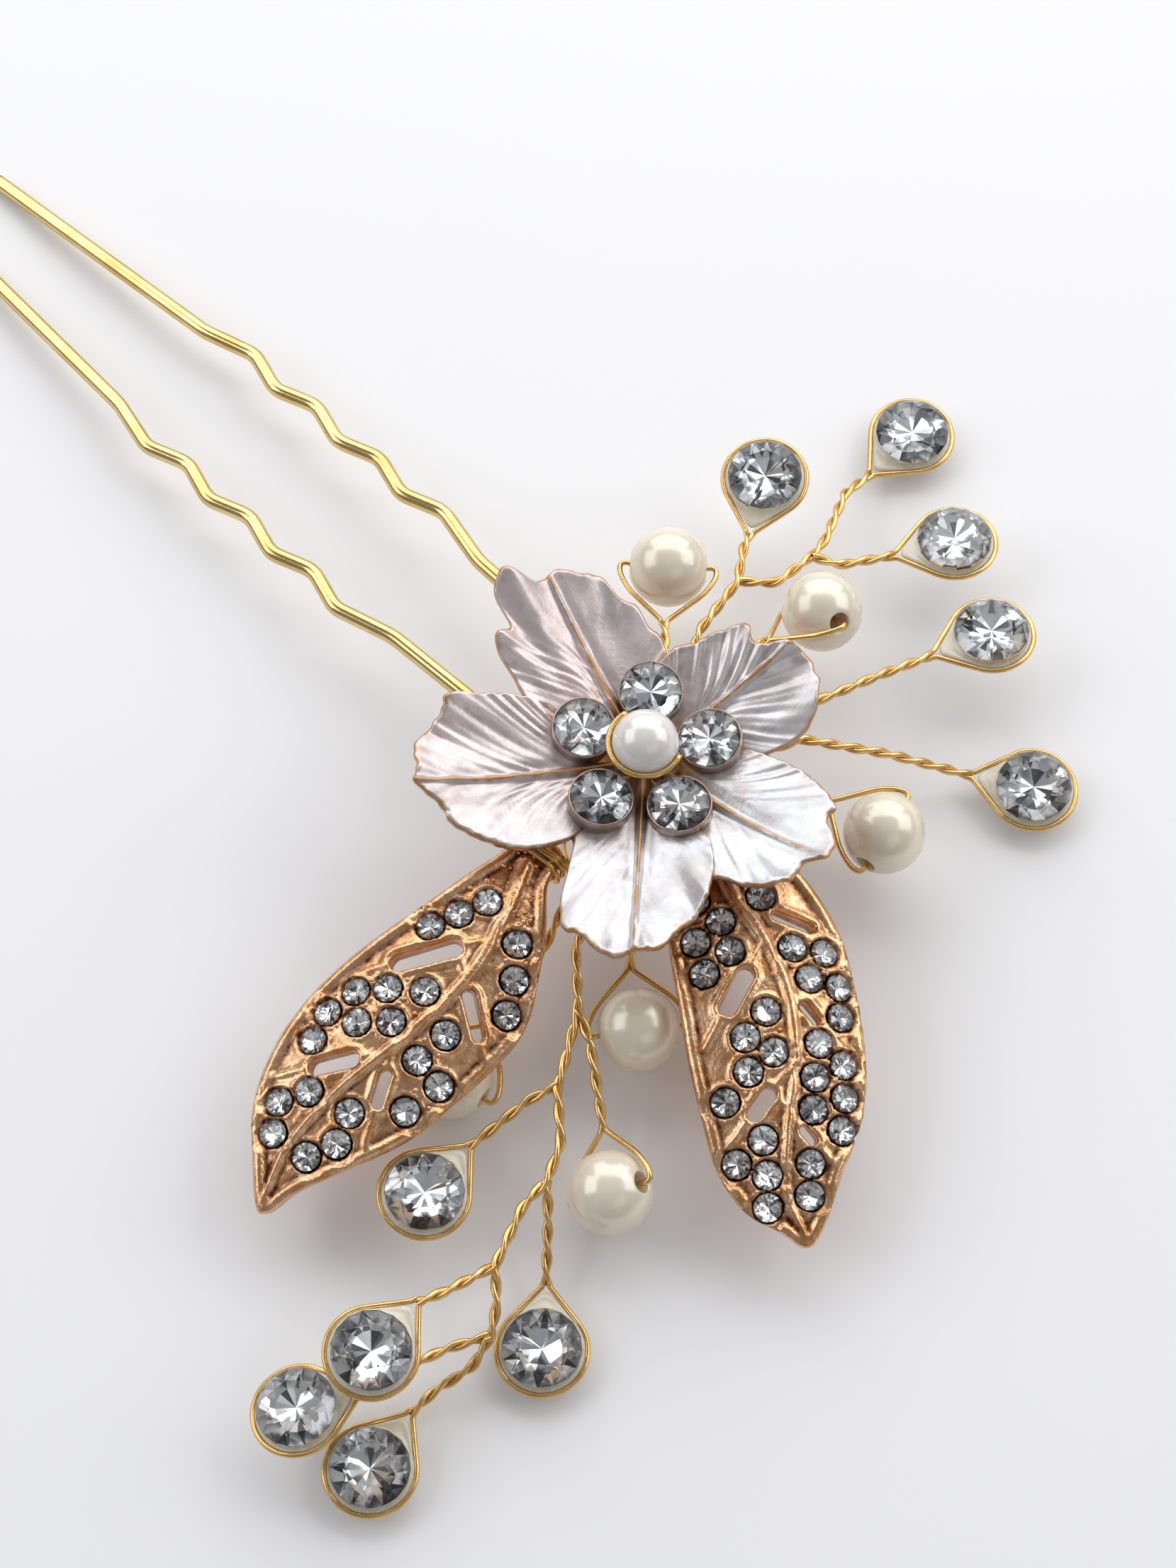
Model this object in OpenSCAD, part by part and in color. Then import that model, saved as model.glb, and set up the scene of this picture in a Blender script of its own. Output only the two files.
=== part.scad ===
// Decorative hair pin: a wavy two-leg fork carrying a wired flower, two pave leaves, stone drops and pearls.
// Millimetres. +Y runs along the fork towards its tips, +Z out of the flower, the pin rests on z = 0.

/* [Hair fork] */
// Diameter of the fork wire
fork_d = 1.2; // [1:0.05:1.5]
// Radius of the bend that closes the fork
crown_r = 3.6; // [3.2:0.1:4.2]
// Half the mean spacing of the waved part of the legs
wave_half_spacing = 5.15; // [4.8:0.05:5.8]
// Sideways swing of the wave's corners each side of the mean
wave_swing = 0.56; // [0.3:0.02:0.7]
// Length of one wave
wave_pitch = 7; // [6:0.1:8]
// Inside rounding of the wave's corners
wave_bend_r = 2.2; // [1.6:0.1:2.6]
// Distance from the crown's centre to the first wave
wave_start = 26.4; // [25:0.1:30]
// Length of the straight tail of each leg
tail_length = 23.5; // [20:0.5:30]
// How far each tail leans in towards its tip
tail_lean = 1.5; // [0.5:0.1:2.2]
// Height of the crown's wire centre above the table
crown_height = 6.2; // [5.6:0.1:6.4]
// Sideways offset of the fork from the flower's axis
fork_offset = 0.4; // [-1:0.1:1]
// Offset of the crown's centre from the flower's axis towards the tips
fork_shift = 0.6; // [0.5:0.1:1]

/* [Flower] */
// Radius of the dished surface that the petals follow
bowl_r = 34; // [28:1:45]
// Thickness of the petals
petal_t = 0.8; // [0.6:0.05:1.1]
// Reach of the longest petal
petal_reach = 16; // [14:0.25:17.5]
// Height of the dish's lowest point above the table
flower_height = 9.95; // [9.85:0.05:10.4]
// Roll of each petal about its own vein, in degrees
petal_roll = 4; // [2:0.5:6]
// Diameter of the raised vein wire on each petal
vein_d = 0.7; // [0.5:0.05:0.9]
// Number of petals and of centre stones
petal_count = 5; // [5:1:5]

/* [Centre] */
// Diameter of the centre pearl
centre_pearl_d = 4.8; // [4.4:0.1:4.9]
// Diameter of a centre stone
centre_stone_d = 4.4; // [4:0.1:4.5]
// Radius of the ring of centre stones
centre_ring_r = 4.7; // [4.65:0.05:5.2]
// Wall of the cup round a centre stone
cup_wall = 0.17; // [0.14:0.01:0.2]
// Height of the cup above the dish
cup_height = 1.2; // [1:0.1:1.5]

/* [Leaves] */
// Length of a leaf from neck to tip
leaf_length = 31.5; // [30:0.25:34]
// Thickness of the leaf casting
leaf_t = 1.2; // [1.1:0.05:1.4]
// Radius of the leaf's arch across its width
leaf_arch_r = 13; // [11.5:0.5:16]
// Radius of the leaf's curve along its length
leaf_sweep_r = 70; // [60:1:90]
// Height of the leaf's crest above the table
leaf_height = 8.7; // [8.5:0.1:9]
// Diameter of a small leaf stone
pave_d = 2; // [1.8:0.05:2.05]
// Depth of the pavilion of a small leaf stone
pave_depth = 0.8; // [0.6:0.05:0.9]
// Diameter of the leaf's raised midrib
midrib_d = 0.9; // [0.7:0.05:1]

/* [Stone drops] */
// Diameter of a drop stone
drop_d = 5.6; // [5.2:0.1:5.8]
// Height of the faceted crown of a drop stone
drop_crown = 1.1; // [0.8:0.05:1.3]
// Depth of the pavilion below the girdle
drop_depth = 2.3; // [2:0.05:2.5]
// Height of the girdle above the plane of the wire loop
drop_seat = 0.75; // [0.6:0.05:0.9]
// Distance from the loop's centre to the point of the loop
loop_neck = 4.6; // [4.3:0.1:5]
// Thickness of the clear resin web
web_t = 0.5; // [0.4:0.05:0.7]

/* [Pearls and wire] */
// Diameter of a hanging pearl
pearl_d = 6; // [5.6:0.1:6.2]
// Diameter of a pearl's drilled hole
pearl_bore = 1.5; // [1.2:0.05:1.7]
// Diameter of the stem wire
wire_d = 0.4; // [0.35:0.01:0.5]
// Diameter over a stem of two twisted wires
stem_d = 0.8; // [0.7:0.02:0.9]
// Gap between neighbouring pieces that touch in use
gap = 0.03; // [0.02:0.01:0.06]

/* [Hidden] */
// Facets asked of every round, high enough to stay truly round
$fn = 48;
// Turn of the spray about the flower's axis
spray_turn = 0;
// Place of the flower's axis in the shared frame
origin_at = [6.04, -21.85, 0];
bend_leg = 6;
// the loop of wire keeps these distances from the pearl's skin
bore_line = pearl_d / 2 + 0.8;
loop_knee = pearl_d / 2 + 0.4;
pearl_neck = pearl_d / 2 + 1.6;
coil_pitch = 0.52;

// Stone drops: loop centre x, y, height of the loop plane, azimuth it points to, lean, azimuth of the lean
DROPS = [
  [24.4, 10.9, 6.0, 29, 6, 200],
  [37.0, 6.9, 1.56, 0, 0, 0],
  [31.2, -2.4, 4.0, 327, 8, 60],
  [27.1, -9.7, 4.6, 335, 8, 60],
  [21.1, -19.6, 1.56, 300, 0, 0],
  [-32.6, -10.4, 4.6, 183, 5, 300],
  [-43.2, -16.2, 6.3, 184, 5, 300],
  [-49.1, -15.0, 4.0, 152, 12, 100],
  [-48.2, -20.9, 1.56, 190, 0, 0],
  [-34.2, -23.4, 1.56, 221, 0, 0]];
// Pearls: centre x, y, z, azimuth it points away from the flower, roll of the wire loop's plane
PEARLS = [
  [13.9, 10.9, 6.0, 40, 0],
  [19.2, 0.2, 6.0, 345, -40],
  [9.6, -14.9, 5.0, 283, 0],
  [-13.35, -12.45, 3.9, 232, 0],
  [-23.4, -19.4, 4.0, 230, 40],
  [-24.9, -5.2, 3.05, 190, 0]];

// ---------- vectors ----------
function unit(v) = v / norm(v);
function polar(a, r) = [r * cos(a), r * sin(a), 0];
function turn_of(a, b) = acos(max(-1, min(1, a * b)));
function lerp(a, b, t) = a * (1 - t) + b * t;
// a smooth closed outline through the given points
function cat(p0, p1, p2, p3, t) = 0.5 * (2 * p1 + (p2 - p0) * t + (2 * p0 - 5 * p1 + 4 * p2 - p3) * t * t
  + (3 * p1 - p0 - 3 * p2 + p3) * t * t * t);
function smooth(p, n) = [for (i = [0 : len(p) - 1]) for (k = [0 : n - 1])
  cat(p[(i + len(p) - 1) % len(p)], p[i], p[(i + 1) % len(p)], p[(i + 2) % len(p)], k / n)];

// ---------- exact round wire ----------
module rod(a, b, d) {
  v = b - a;
  translate(a)
    rotate([0, acos(v[2] / norm(v)), atan2(v[1], v[0])])
      cylinder(d = d, h = norm(v));
}
// one bend of radius r at point p, from direction a to direction b
module bend(p, a, b, r, d) {
  f = turn_of(a, b);
  n = unit(b - a * (a * b));
  c = p - a * r * tan(f / 2) + n * r;
  z = cross(-n, a);
  multmatrix([[-n[0], a[0], z[0], c[0]], [-n[1], a[1], z[1], c[1]], [-n[2], a[2], z[2], c[2]], [0, 0, 0, 1]])
    rotate_extrude(angle = f)
      translate([r, 0])
        circle(d = d);
}
// a wire through points p with bend radii r
module wire_path(p, r, d) {
  n = len(p);
  dirs = [for (i = [0 : n - 2]) unit(p[i + 1] - p[i])];
  cuts = [for (i = [0 : n - 1]) i == 0 || i == n - 1 ? 0 : r[i] * tan(turn_of(dirs[i - 1], dirs[i]) / 2)];
  for (i = [0 : n - 2])
    rod(p[i] + dirs[i] * cuts[i], p[i + 1] - dirs[i] * cuts[i + 1], d);
  for (i = [1 : n - 2])
    if (turn_of(dirs[i - 1], dirs[i]) > 0.3)
      bend(p[i], dirs[i - 1], dirs[i], r[i], d);
}
// points along a path whose corners are rounded, each as [point, diameter]
function corner(p, a, b, r, d, step) = let (f = turn_of(a, b), n = unit(b - a * (a * b)),
    c = p - a * r * tan(f / 2) + n * r, m = max(1, ceil(f / step)))
  [for (k = [0 : m]) [c - n * r * cos(f * k / m) + a * r * sin(f * k / m), d]];
function rounded(p, r, d, step = 24) = let (n = len(p), u = [for (i = [0 : n - 2]) unit(p[i + 1] - p[i])])
  [for (i = [0 : n - 1]) each
    (i == 0 || i == n - 1 || turn_of(u[max(0, i - 1)], u[min(n - 2, i)]) < 1 ? [[p[i], d[i]]]
      : corner(p[i], u[i - 1], u[i], r[i], d[i], step))];
// one closed many-sided skin round the path q of [point, diameter]
module sweep(q, m = 8) {
  n = len(q);
  t = [for (i = [0 : n - 1]) unit(q[min(n - 1, i + 1)][0] - q[max(0, i - 1)][0])];
  first = unit(cross(t[0], abs(t[0][2]) < 0.8 ? [0, 0, 1] : [1, 0, 0]));
  side = [for (i = 0, s = first; i < n; i = i + 1, s = i < n ? unit(s - t[i] * (s * t[i])) : s) s];
  points = [for (i = [0 : n - 1]) for (j = [0 : m - 1])
    q[i][0] + q[i][1] / 2 * (side[i] * cos(360 * j / m) + cross(t[i], side[i]) * sin(360 * j / m))];
  skin = [for (i = [0 : n - 2]) for (j = [0 : m - 1]) for (h = [0, 1])
    h == 0 ? [i * m + j, (i + 1) * m + j, (i + 1) * m + (j + 1) % m]
      : [i * m + j, (i + 1) * m + (j + 1) % m, i * m + (j + 1) % m]];
  polyhedron(points, concat(skin, [[for (j = [0 : m - 1]) j]],
    [[for (j = [m - 1 : -1 : 0]) (n - 1) * m + j]]));
}
module at_spray() {
  translate(origin_at)
    rotate([0, 0, spray_turn])
      children();
}

// ---------- fork ----------
crown_half = 0.1;
fork_reach = wave_start + 3 * wave_pitch + 4.5 + tail_length;
fork_slope = asin((crown_height - fork_d / 2) / fork_reach);
function leg(s) = concat(
  [[s * (wave_half_spacing - 0.6 - tail_lean), fork_reach, 0],
   [s * (wave_half_spacing - 0.6), fork_reach - tail_length, 0]],
  [for (k = [6 : -1 : 0]) [s * (wave_half_spacing + (k % 2 == 0 ? wave_swing : -wave_swing)),
     wave_start + k * wave_pitch / 2, 0]],
  [[s * (wave_half_spacing - 0.7), wave_start - 5, 0], [s * (crown_r + crown_half), -crown_r, 0]]);
// where a tail's straight ends, and its direction
function tail_dir(s) = unit(leg(s)[1] - leg(s)[0]);
function tail_foot(s) = let (q = leg(s), u = tail_dir(s))
  q[1] - u * bend_leg * tan(turn_of(u, unit(q[2] - q[1])) / 2);
module hair_fork() {
  right = leg(1);
  left = leg(-1);
  n = len(right);
  path = concat([tail_foot(1) - tail_dir(1)], [for (i = [1 : n - 1]) right[i]],
    [for (i = [n - 1 : -1 : 1]) left[i]], [tail_foot(-1) - tail_dir(-1)]);
  half = concat([0, bend_leg], [for (k = [0 : 6]) wave_bend_r], [bend_leg, crown_r]);
  radii = concat(half, [for (i = [n - 1 : -1 : 0]) half[i]]);
  color("#d8c48a")
    translate(origin_at + [fork_offset, fork_shift, crown_height])
      rotate([-fork_slope, 0, 0]) {
        for (s = [-1, 1])
          rod(leg(s)[0], tail_foot(s), fork_d);
        sweep(rounded(path, radii, [for (q = path) fork_d - 0.02], 9), 16);
      }
}
// a close winding round the crown of the fork, one smooth ring after another joined by a seam
module crown_binding() {
  ring_r = fork_d / 2 + gap + wire_d / 2;
  color("#d8b04c")
    translate(origin_at + [fork_offset, fork_shift, crown_height])
      rotate([-fork_slope, 0, 0]) {
        for (k = [-4 : 4])
          translate([sign(k) * crown_half, 0, 0])
            rotate([0, 0, k * 7.5])
              translate([0, -crown_r, 0])
                rotate([0, 90, 0])
                  rotate_extrude()
                    translate([ring_r, 0])
                      circle(d = wire_d);
        translate([0, 0, ring_r])
          rotate([0, 0, 270 - 30])
            rotate_extrude(angle = 60)
              translate([crown_r, 0])
                circle(d = wire_d * 0.8);
      }
}

// ---------- flower ----------
// Petal outline as [angle from the vein, share of the reach]
PETAL = [[-37, 0.55], [-33, 0.72], [-30, 0.86], [-25, 0.9], [-20, 0.87], [-16, 0.96], [-9, 0.94], [-3, 1.0],
  [6, 0.99], [12, 0.92], [17, 0.97], [25, 0.9], [29, 0.86], [33, 0.7], [37, 0.55]];
PETAL_AT = [66, 142, 218, 283, 347];
PETAL_SHARE = [0.99, 1.0, 1.0, 0.96, 0.87];
petal_steps = 144;
petal_rings = 6;
plate_r = 7.6;
plate_top = 0.45;
petal_in = 6.9;
function wrap(a) = a - 360 * round(a / 360);
function nearest(a) = let (w = [for (v = PETAL_AT) abs(wrap(a - v))], m = min(w))
  [for (k = [0 : 4]) if (w[k] == m) k][0];
function dish_z(r) = bowl_r - sqrt(bowl_r * bowl_r - r * r);
function petal_edge(a) = let (k = nearest(a), d = max(-37, min(37, wrap(a - PETAL_AT[k]))))
  petal_reach * PETAL_SHARE[k] * lookup(d, PETAL);
// height of the petal's upper face: dish, roll across the petal, ruffled edge and fine radial ribs
function petal_z(i, f) = let (a = 360 * i / petal_steps, k = nearest(a), d = wrap(a - PETAL_AT[k]),
    r = petal_in + (petal_edge(a) - petal_in) * f)
  dish_z(r) + f * (petal_roll * d / 80 + 0.55 * cos(d * 9) * f - 0.25) + (i % 2 == 0 ? 0.09 : -0.09) * min(1, 3 * f)
    + (abs(d) < 2 ? vein_d * 0.45 * (1 - f * 0.6) : 0);
module petals() {
  n = petal_steps;
  m = petal_rings;
  function at(i, j, z) = let (a = 360 * i / n, r = petal_in + (petal_edge(a) - petal_in) * j / m)
    [r * cos(a), r * sin(a), petal_z(i, j / m) + z];
  top = [for (i = [0 : n - 1]) for (j = [0 : m]) at(i, j, 0)];
  low = [for (i = [0 : n - 1]) for (j = [0 : m]) at(i, j, -petal_t)];
  k = n * (m + 1);
  function id(i, j) = (i % n) * (m + 1) + j;
  up = [for (i = [0 : n - 1]) for (j = [0 : m - 1]) for (h = [0, 1])
    h == 0 ? [id(i, j), id(i + 1, j + 1), id(i, j + 1)] : [id(i, j), id(i + 1, j), id(i + 1, j + 1)]];
  down = [for (f = up) [k + f[0], k + f[2], k + f[1]]];
  rim = [for (i = [0 : n - 1]) for (h = [0, 1])
    h == 0 ? [id(i, m), id(i + 1, m), k + id(i + 1, m)] : [id(i, m), k + id(i + 1, m), k + id(i, m)]];
  bore = [for (i = [0 : n - 1]) for (h = [0, 1])
    h == 0 ? [id(i, 0), k + id(i + 1, 0), id(i + 1, 0)] : [id(i, 0), k + id(i, 0), k + id(i + 1, 0)]];
  polyhedron(concat(top, low), concat(up, down, rim, bore));
}
CUP_TURN = 39;
cup_tilt = asin(centre_ring_r / bowl_r);
module at_cup(k) {
  rotate([0, 0, CUP_TURN + 72 * k])
    translate([centre_ring_r, 0, dish_z(centre_ring_r) + cup_height])
      rotate([0, -cup_tilt, 0])
        children();
}
module at_flower() {
  at_spray()
    translate([0, 0, flower_height])
      children();
}
module flower_casting() {
  color("#dfe0e6")
    at_flower()
      difference() {
        union() {
          petals();
          translate([0, 0, -0.6])
            cylinder(r = plate_r, h = 0.6 + plate_top);
          for (k = [0 : petal_count - 1])
            at_cup(k)
              translate([0, 0, -cup_height])
                cylinder(d = centre_stone_d + 2 * gap + 2 * cup_wall, h = cup_height);
        }
        for (k = [0 : petal_count - 1])
          at_cup(k)
            stone_room(centre_stone_d, 0.3, centre_depth, gap, 2);
        for (a = CENTRE_TAILS)
          translate(polar(a, centre_wire_r) - [0, 0, 2])
            cylinder(d = wire_d + 0.2, h = 3.4);
        translate([0, 0, -2])
          cylinder(d = 1.2, h = 4);
      }
}
centre_depth = 1.1;
centre_wire_r = centre_pearl_d / 2 + wire_d / 2 + gap;
CENTRE_TAILS = [75, 291];
centre_pearl_z = plate_top + centre_pearl_d / 2 + gap;
module centre_pearl() {
  color("#f4efe6")
    at_flower()
      translate([0, 0, centre_pearl_z])
        difference() {
          sphere(d = centre_pearl_d);
          rotate([0, 0, 0])
            translate([0, 0, -centre_pearl_d])
              cylinder(d = 0.9, h = centre_pearl_d);
        }
}
module centre_wire() {
  ring_z = centre_pearl_z + 0.15;
  a = CENTRE_TAILS[0];
  b = CENTRE_TAILS[1];
  r = centre_wire_r;
  path = concat([[polar(a, r) + [0, 0, -1.2], wire_d], [polar(a, r) + [0, 0, ring_z - 0.3], wire_d]],
    [for (k = [1 : 17]) [polar(lerp(a, b, k / 18), r) + [0, 0, ring_z], wire_d]],
    [[polar(b, r) + [0, 0, ring_z - 0.3], wire_d], [polar(b, r) + [0, 0, -1.2], wire_d]]);
  color("#d8b04c")
    at_flower()
      sweep(path);
}

// ---------- stones ----------
// a round faceted stone with its girdle's top at z = 0: table, crown, girdle and pointed foiled back
module round_stone(d, crown, girdle, depth) {
  rotate_extrude()
    polygon([[0, crown], [d * 0.29, crown], [d / 2, 0], [d / 2, -girdle], [0.02, -girdle - depth], [0, -girdle - depth]]);
}
// the room cut for a stone, open upwards for a height h
module stone_room(d, girdle, depth, g, h) {
  rotate_extrude()
    polygon([[0, h], [d / 2 + g, h], [d / 2 + g, -girdle - g], [0.05, -girdle - depth - 2 * g],
      [0, -girdle - depth - 2 * g]]);
}
module centre_stone(k) {
  color("#eef2f6")
    at_flower()
      at_cup(k - 1)
        round_stone(centre_stone_d, 0.75, 0.3, centre_depth);
}

// ---------- leaves ----------
// leaf frame: u along the leaf from neck to tip, v across, crest at u = leaf_crest touches z = 0
leaf_crest = 13;
LEAF_LEFT = [[-1.2, -1.5], [1.5, -1.9], [4, -2.7], [8, -3.9], [12, -5.3], [16, -6.3], [20, -6.6], [23.5, -6.0],
  [26.5, -4.7], [29, -2.7], [31.5, -0.5], [31.4, 0.4], [29.3, 1.2], [26, 3.2], [22, 5.3], [18, 6.3], [14, 7.0],
  [10.5, 7.0], [7, 5.6], [4, 4.0], [1.5, 2.3], [-1.2, 1.6]];
LEAF_RIGHT = [[-1.2, -1.5], [1.5, -2.2], [4, -3.9], [8, -4.9], [13, -5.2], [18, -5.4], [22, -5.3], [25.5, -5.0],
  [28.5, -3.7], [30.3, -1.7], [31.5, -0.5], [31.4, 0.5], [29.6, 1.9], [27, 3.4], [24.5, 5.1], [21.5, 6.3],
  [17.5, 7.0], [13.5, 7.2], [9.5, 6.8], [5.5, 5.2], [1.5, 2.4], [-1.2, 1.6]];
RIB_LEFT = [[1, 0], [5, 1.2], [10, 2.0], [16, 1.1], [22, -0.5], [27, -1.1], [31, -0.3]];
RIB_RIGHT = [[1, -0.6], [6, 0], [10, 1.5], [14, 2.3], [19, 1.8], [24, 0.1], [28, -0.7], [31, 0]];
STONES_LEFT = [[5, -0.3], [6.9, -1.4], [8.8, -2.5], [12.9, 0.2], [14.2, -2.1], [15.6, -3.9], [17.9, -4.7],
  [17.4, -2.4], [16, -0.4], [20.1, -4.3], [23.2, -2.2], [24.9, -3.6], [26.9, -2.6],
  [6.2, 3.2], [8.4, 4.6], [10.7, 5.6], [14.5, 3.2], [17.1, 2.7], [17.6, 4.9], [20.4, 4.1],
  [22.8, 1.1], [25, 1.6], [26.9, 0.4]];
STONES_RIGHT = [[6.3, -2.6], [8.2, -1.2], [9.3, -3.2], [10.5, -1.0], [11.7, -3.1], [15.3, 0.5], [16.8, -1.3],
  [18.2, 0.4], [19.2, -1.6], [20.9, -3.6], [24.0, -1.6], [25.2, -3.7], [26.4, -1.8], [28.5, -2.2],
  [6.9, 2.0], [11.0, 3.4], [13.4, 4.1], [11.6, 5.6], [14.2, 6.1], [16.4, 5.7], [18.1, 3.7], [19.8, 5.1],
  [20.4, 2.9], [22.1, 4.7], [22.6, 2.3], [24.3, 4.0], [26.2, 1.3], [28.3, 0.8]];
// slots as centre u, v, direction, half distance between the end rounds, radius of the end rounds
SLOTS_LEFT = [[10.7, -1.4, -40, 1.9, 0.8], [20.6, -2.0, -45, 1.2, 0.7], [12.2, 3.9, 50, 1.4, 0.5],
  [20.2, 1.9, 20, 1.0, 0.45]];
SLOTS_RIGHT = [[13.4, -1.2, -40, 1.3, 0.72], [21.6, -1.2, -50, 0.8, 0.6], [9.05, 3.9, 60, 1.2, 0.5],
  [15.9, 3.6, 30, 0.6, 0.45], [24.3, 1.6, 30, 0.4, 0.42]];
// place of a point on the crest surface
function tilt_v(v) = asin(v / leaf_arch_r);
function tilt_u(u, v) = asin((u - leaf_crest) / (leaf_sweep_r - leaf_arch_r + leaf_arch_r * cos(tilt_v(v))));
function leaf_xyz(q, lift) = let (b = tilt_v(q[1]), a = tilt_u(q[0], q[1]),
    m = leaf_sweep_r - leaf_arch_r + (leaf_arch_r + lift) * cos(b))
  [leaf_crest + m * sin(a), (leaf_arch_r + lift) * sin(b), m * cos(a) - leaf_sweep_r];
module on_leaf(q) {
  translate([leaf_crest, 0, -leaf_sweep_r])
    rotate([0, tilt_u(q[0], q[1]), 0])
      translate([0, 0, leaf_sweep_r - leaf_arch_r])
        rotate([-tilt_v(q[1]), 0, 0])
          translate([0, 0, leaf_arch_r])
            children();
}
module leaf_skin(r) {
  translate([leaf_crest, 0, -leaf_sweep_r])
    rotate([90, 0, 0])
      rotate([0, 0, 70])
        rotate_extrude(angle = 40, $fn = 720)
          translate([leaf_sweep_r - leaf_arch_r, 0])
            circle(r = r, $fn = 240);
}
module slab(outline, n) {
  translate([0, 0, -9])
    linear_extrude(height = 14)
      polygon(smooth(outline, n));
}
// the strip that the midrib leaves standing, as an outline
function strip(rib, w) = concat([for (q = rib) [q[0], q[1] + w]],
  [for (i = [len(rib) - 1 : -1 : 0]) [rib[i][0], rib[i][1] - w]]);
// the outline drawn in by the width of the raised rim
function drawn_in(list) = [for (q = list) [16 + (q[0] - 16) * 0.86, q[1] * 0.86]];
function slot_line(s) = [for (k = [0 : 11]) let (a = 30 * k + 15, e = cos(a) > 0 ? s[3] : -s[3],
    x = e + s[4] * cos(a), y = s[4] * sin(a))
  [s[0] + x * cos(s[2]) - y * sin(s[2]), s[1] + x * sin(s[2]) + y * cos(s[2])]];
module leaf_body(outline, rib, slots, stones) {
  difference() {
    intersection() {
      leaf_skin(leaf_arch_r + rim_h);
      slab(outline, 2);
    }
    leaf_skin(leaf_arch_r - leaf_t);
    difference() {
      slab(drawn_in(outline), 2);
      leaf_skin(leaf_arch_r);
      translate([0, 0, -9])
        linear_extrude(height = 14)
          polygon(strip(rib, midrib_d / 2));
    }
    for (s = slots)
      translate([0, 0, -8])
        linear_extrude(height = 12)
          polygon(slot_line(s));
    for (q = stones)
      on_leaf(q)
        stone_room(pave_d, 0.2, pave_depth, gap, 1.2);
  }
}
rim_h = 0.3;
module pave(stones) {
  for (q = stones)
    on_leaf(q)
      round_stone(pave_d, 0.35, 0.2, pave_depth);
}
function grown(list) = [for (q = list) [q[0] * leaf_length / 31.5, q[1]]];
module at_leaf_left() {
  at_spray()
    translate([-10.3, 1, leaf_height])
      rotate([0, 0, 188])
        translate([leaf_crest, 0, 0])
          rotate([0, 4, 0])
            translate([-leaf_crest, 0, 0])
              children();
}
module at_leaf_right() {
  at_spray()
    translate([0.7, -6.0, leaf_height])
      rotate([0, 0, 236])
        translate([leaf_crest, 0, 0])
          rotate([0, 4, 0])
            translate([-leaf_crest, 0, 0])
              children();
}
module leaf_left() {
  color("#cf9a5c")
    at_leaf_left()
      leaf_body(grown(LEAF_LEFT), RIB_LEFT, SLOTS_LEFT, STONES_LEFT);
}
module leaf_right() {
  color("#cf9a5c")
    at_leaf_right()
      leaf_body(grown(LEAF_RIGHT), RIB_RIGHT, SLOTS_RIGHT, STONES_RIGHT);
}
module leaf_left_stones() {
  color("#e6e9ee")
    at_leaf_left()
      pave(STONES_LEFT);
}
module leaf_right_stones() {
  color("#e6e9ee")
    at_leaf_right()
      pave(STONES_RIGHT);
}
// three flat turns of wire round a leaf's neck, with a tail towards the hub
module neck_binding(tail) {
  for (k = [0 : 2])
    translate([-0.9 + k * (wire_d + 0.02), 0, -1.85])
      neck_turn(wire_d);
  translate([0, 0, -1.85 - neck_low])
    translate([-1.1, 0, 0])
      rotate([0, 90, 0])
        cylinder(d = wire_d, h = 1.1);
  rod([-1, 0, -1.85 - neck_low], [-1 - tail, 0, -1.85 - neck_low], wire_d);
}
neck_low = 1.15;
module neck_turn(d) {
  r = 1.0;
  wide = 2.35;
  p = [[0, 0, neck_low], [0, wide, neck_low], [0, wide, -neck_low], [0, -wide, -neck_low], [0, -wide, neck_low],
    [0, 0, neck_low]];
  wire_path(p, [0, r, r, r, r, 0], d);
}
module leaf_left_binding() {
  color("#d8b04c")
    at_leaf_left()
      neck_binding(4);
}
module leaf_right_binding() {
  color("#d8b04c")
    at_leaf_right()
      neck_binding(0.3);
}

// ---------- stone drops ----------
loop_r = drop_d / 2 + 0.35;
module at_drop(k) {
  d = DROPS[k - 1];
  at_spray()
    translate([d[0], d[1], d[2]])
      rotate([0, 0, d[5]])
        rotate([0, d[4], 0])
          rotate([0, 0, d[3] - d[5]])
            children();
}
// a point of the drop's loop plane in the spray's frame
function drop_xyz(k, x, y) = let (d = DROPS[k - 1], a = d[3] - d[5], c = cos(d[4]), s = sin(d[4]),
    u = x * cos(a) - y * sin(a), v = x * sin(a) + y * cos(a))
  [d[0] + u * c * cos(d[5]) - v * sin(d[5]), d[1] + u * c * sin(d[5]) + v * cos(d[5]), d[2] - u * s];
// a stem that ends in a loop round drop k: the wire runs once round and stops beside the loop's point
function drop_line(k, stem, d0) = let (b = acos(loop_r / loop_neck), n = len(stem))
  concat(rounded(concat(stem, [drop_xyz(k, -loop_neck, 0), drop_xyz(k, -loop_r * cos(b), loop_r * sin(b))]),
      [for (i = [0 : n + 1]) i == n ? 0.6 : 1.6],
      concat([d0], [for (i = [1 : n]) stem_d], [wire_d])),
    [for (i = [1 : 16]) let (a = 180 - b - (360 - 2 * b) * i / 16)
      [drop_xyz(k, loop_r * cos(a), loop_r * sin(a)), wire_d]],
    [[drop_xyz(k, -loop_neck + 0.75 * sin(b), -0.75 * cos(b)), wire_d]]);
module drop_wire(k, stem, d0 = stem_d) {
  sweep(drop_line(k, stem, d0));
}
module drop_stone(k) {
  color("#eef2f6")
    at_drop(k)
      translate([0, 0, drop_seat])
        round_stone(drop_d, drop_crown, 0.3, drop_depth - 0.3);
}
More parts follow.
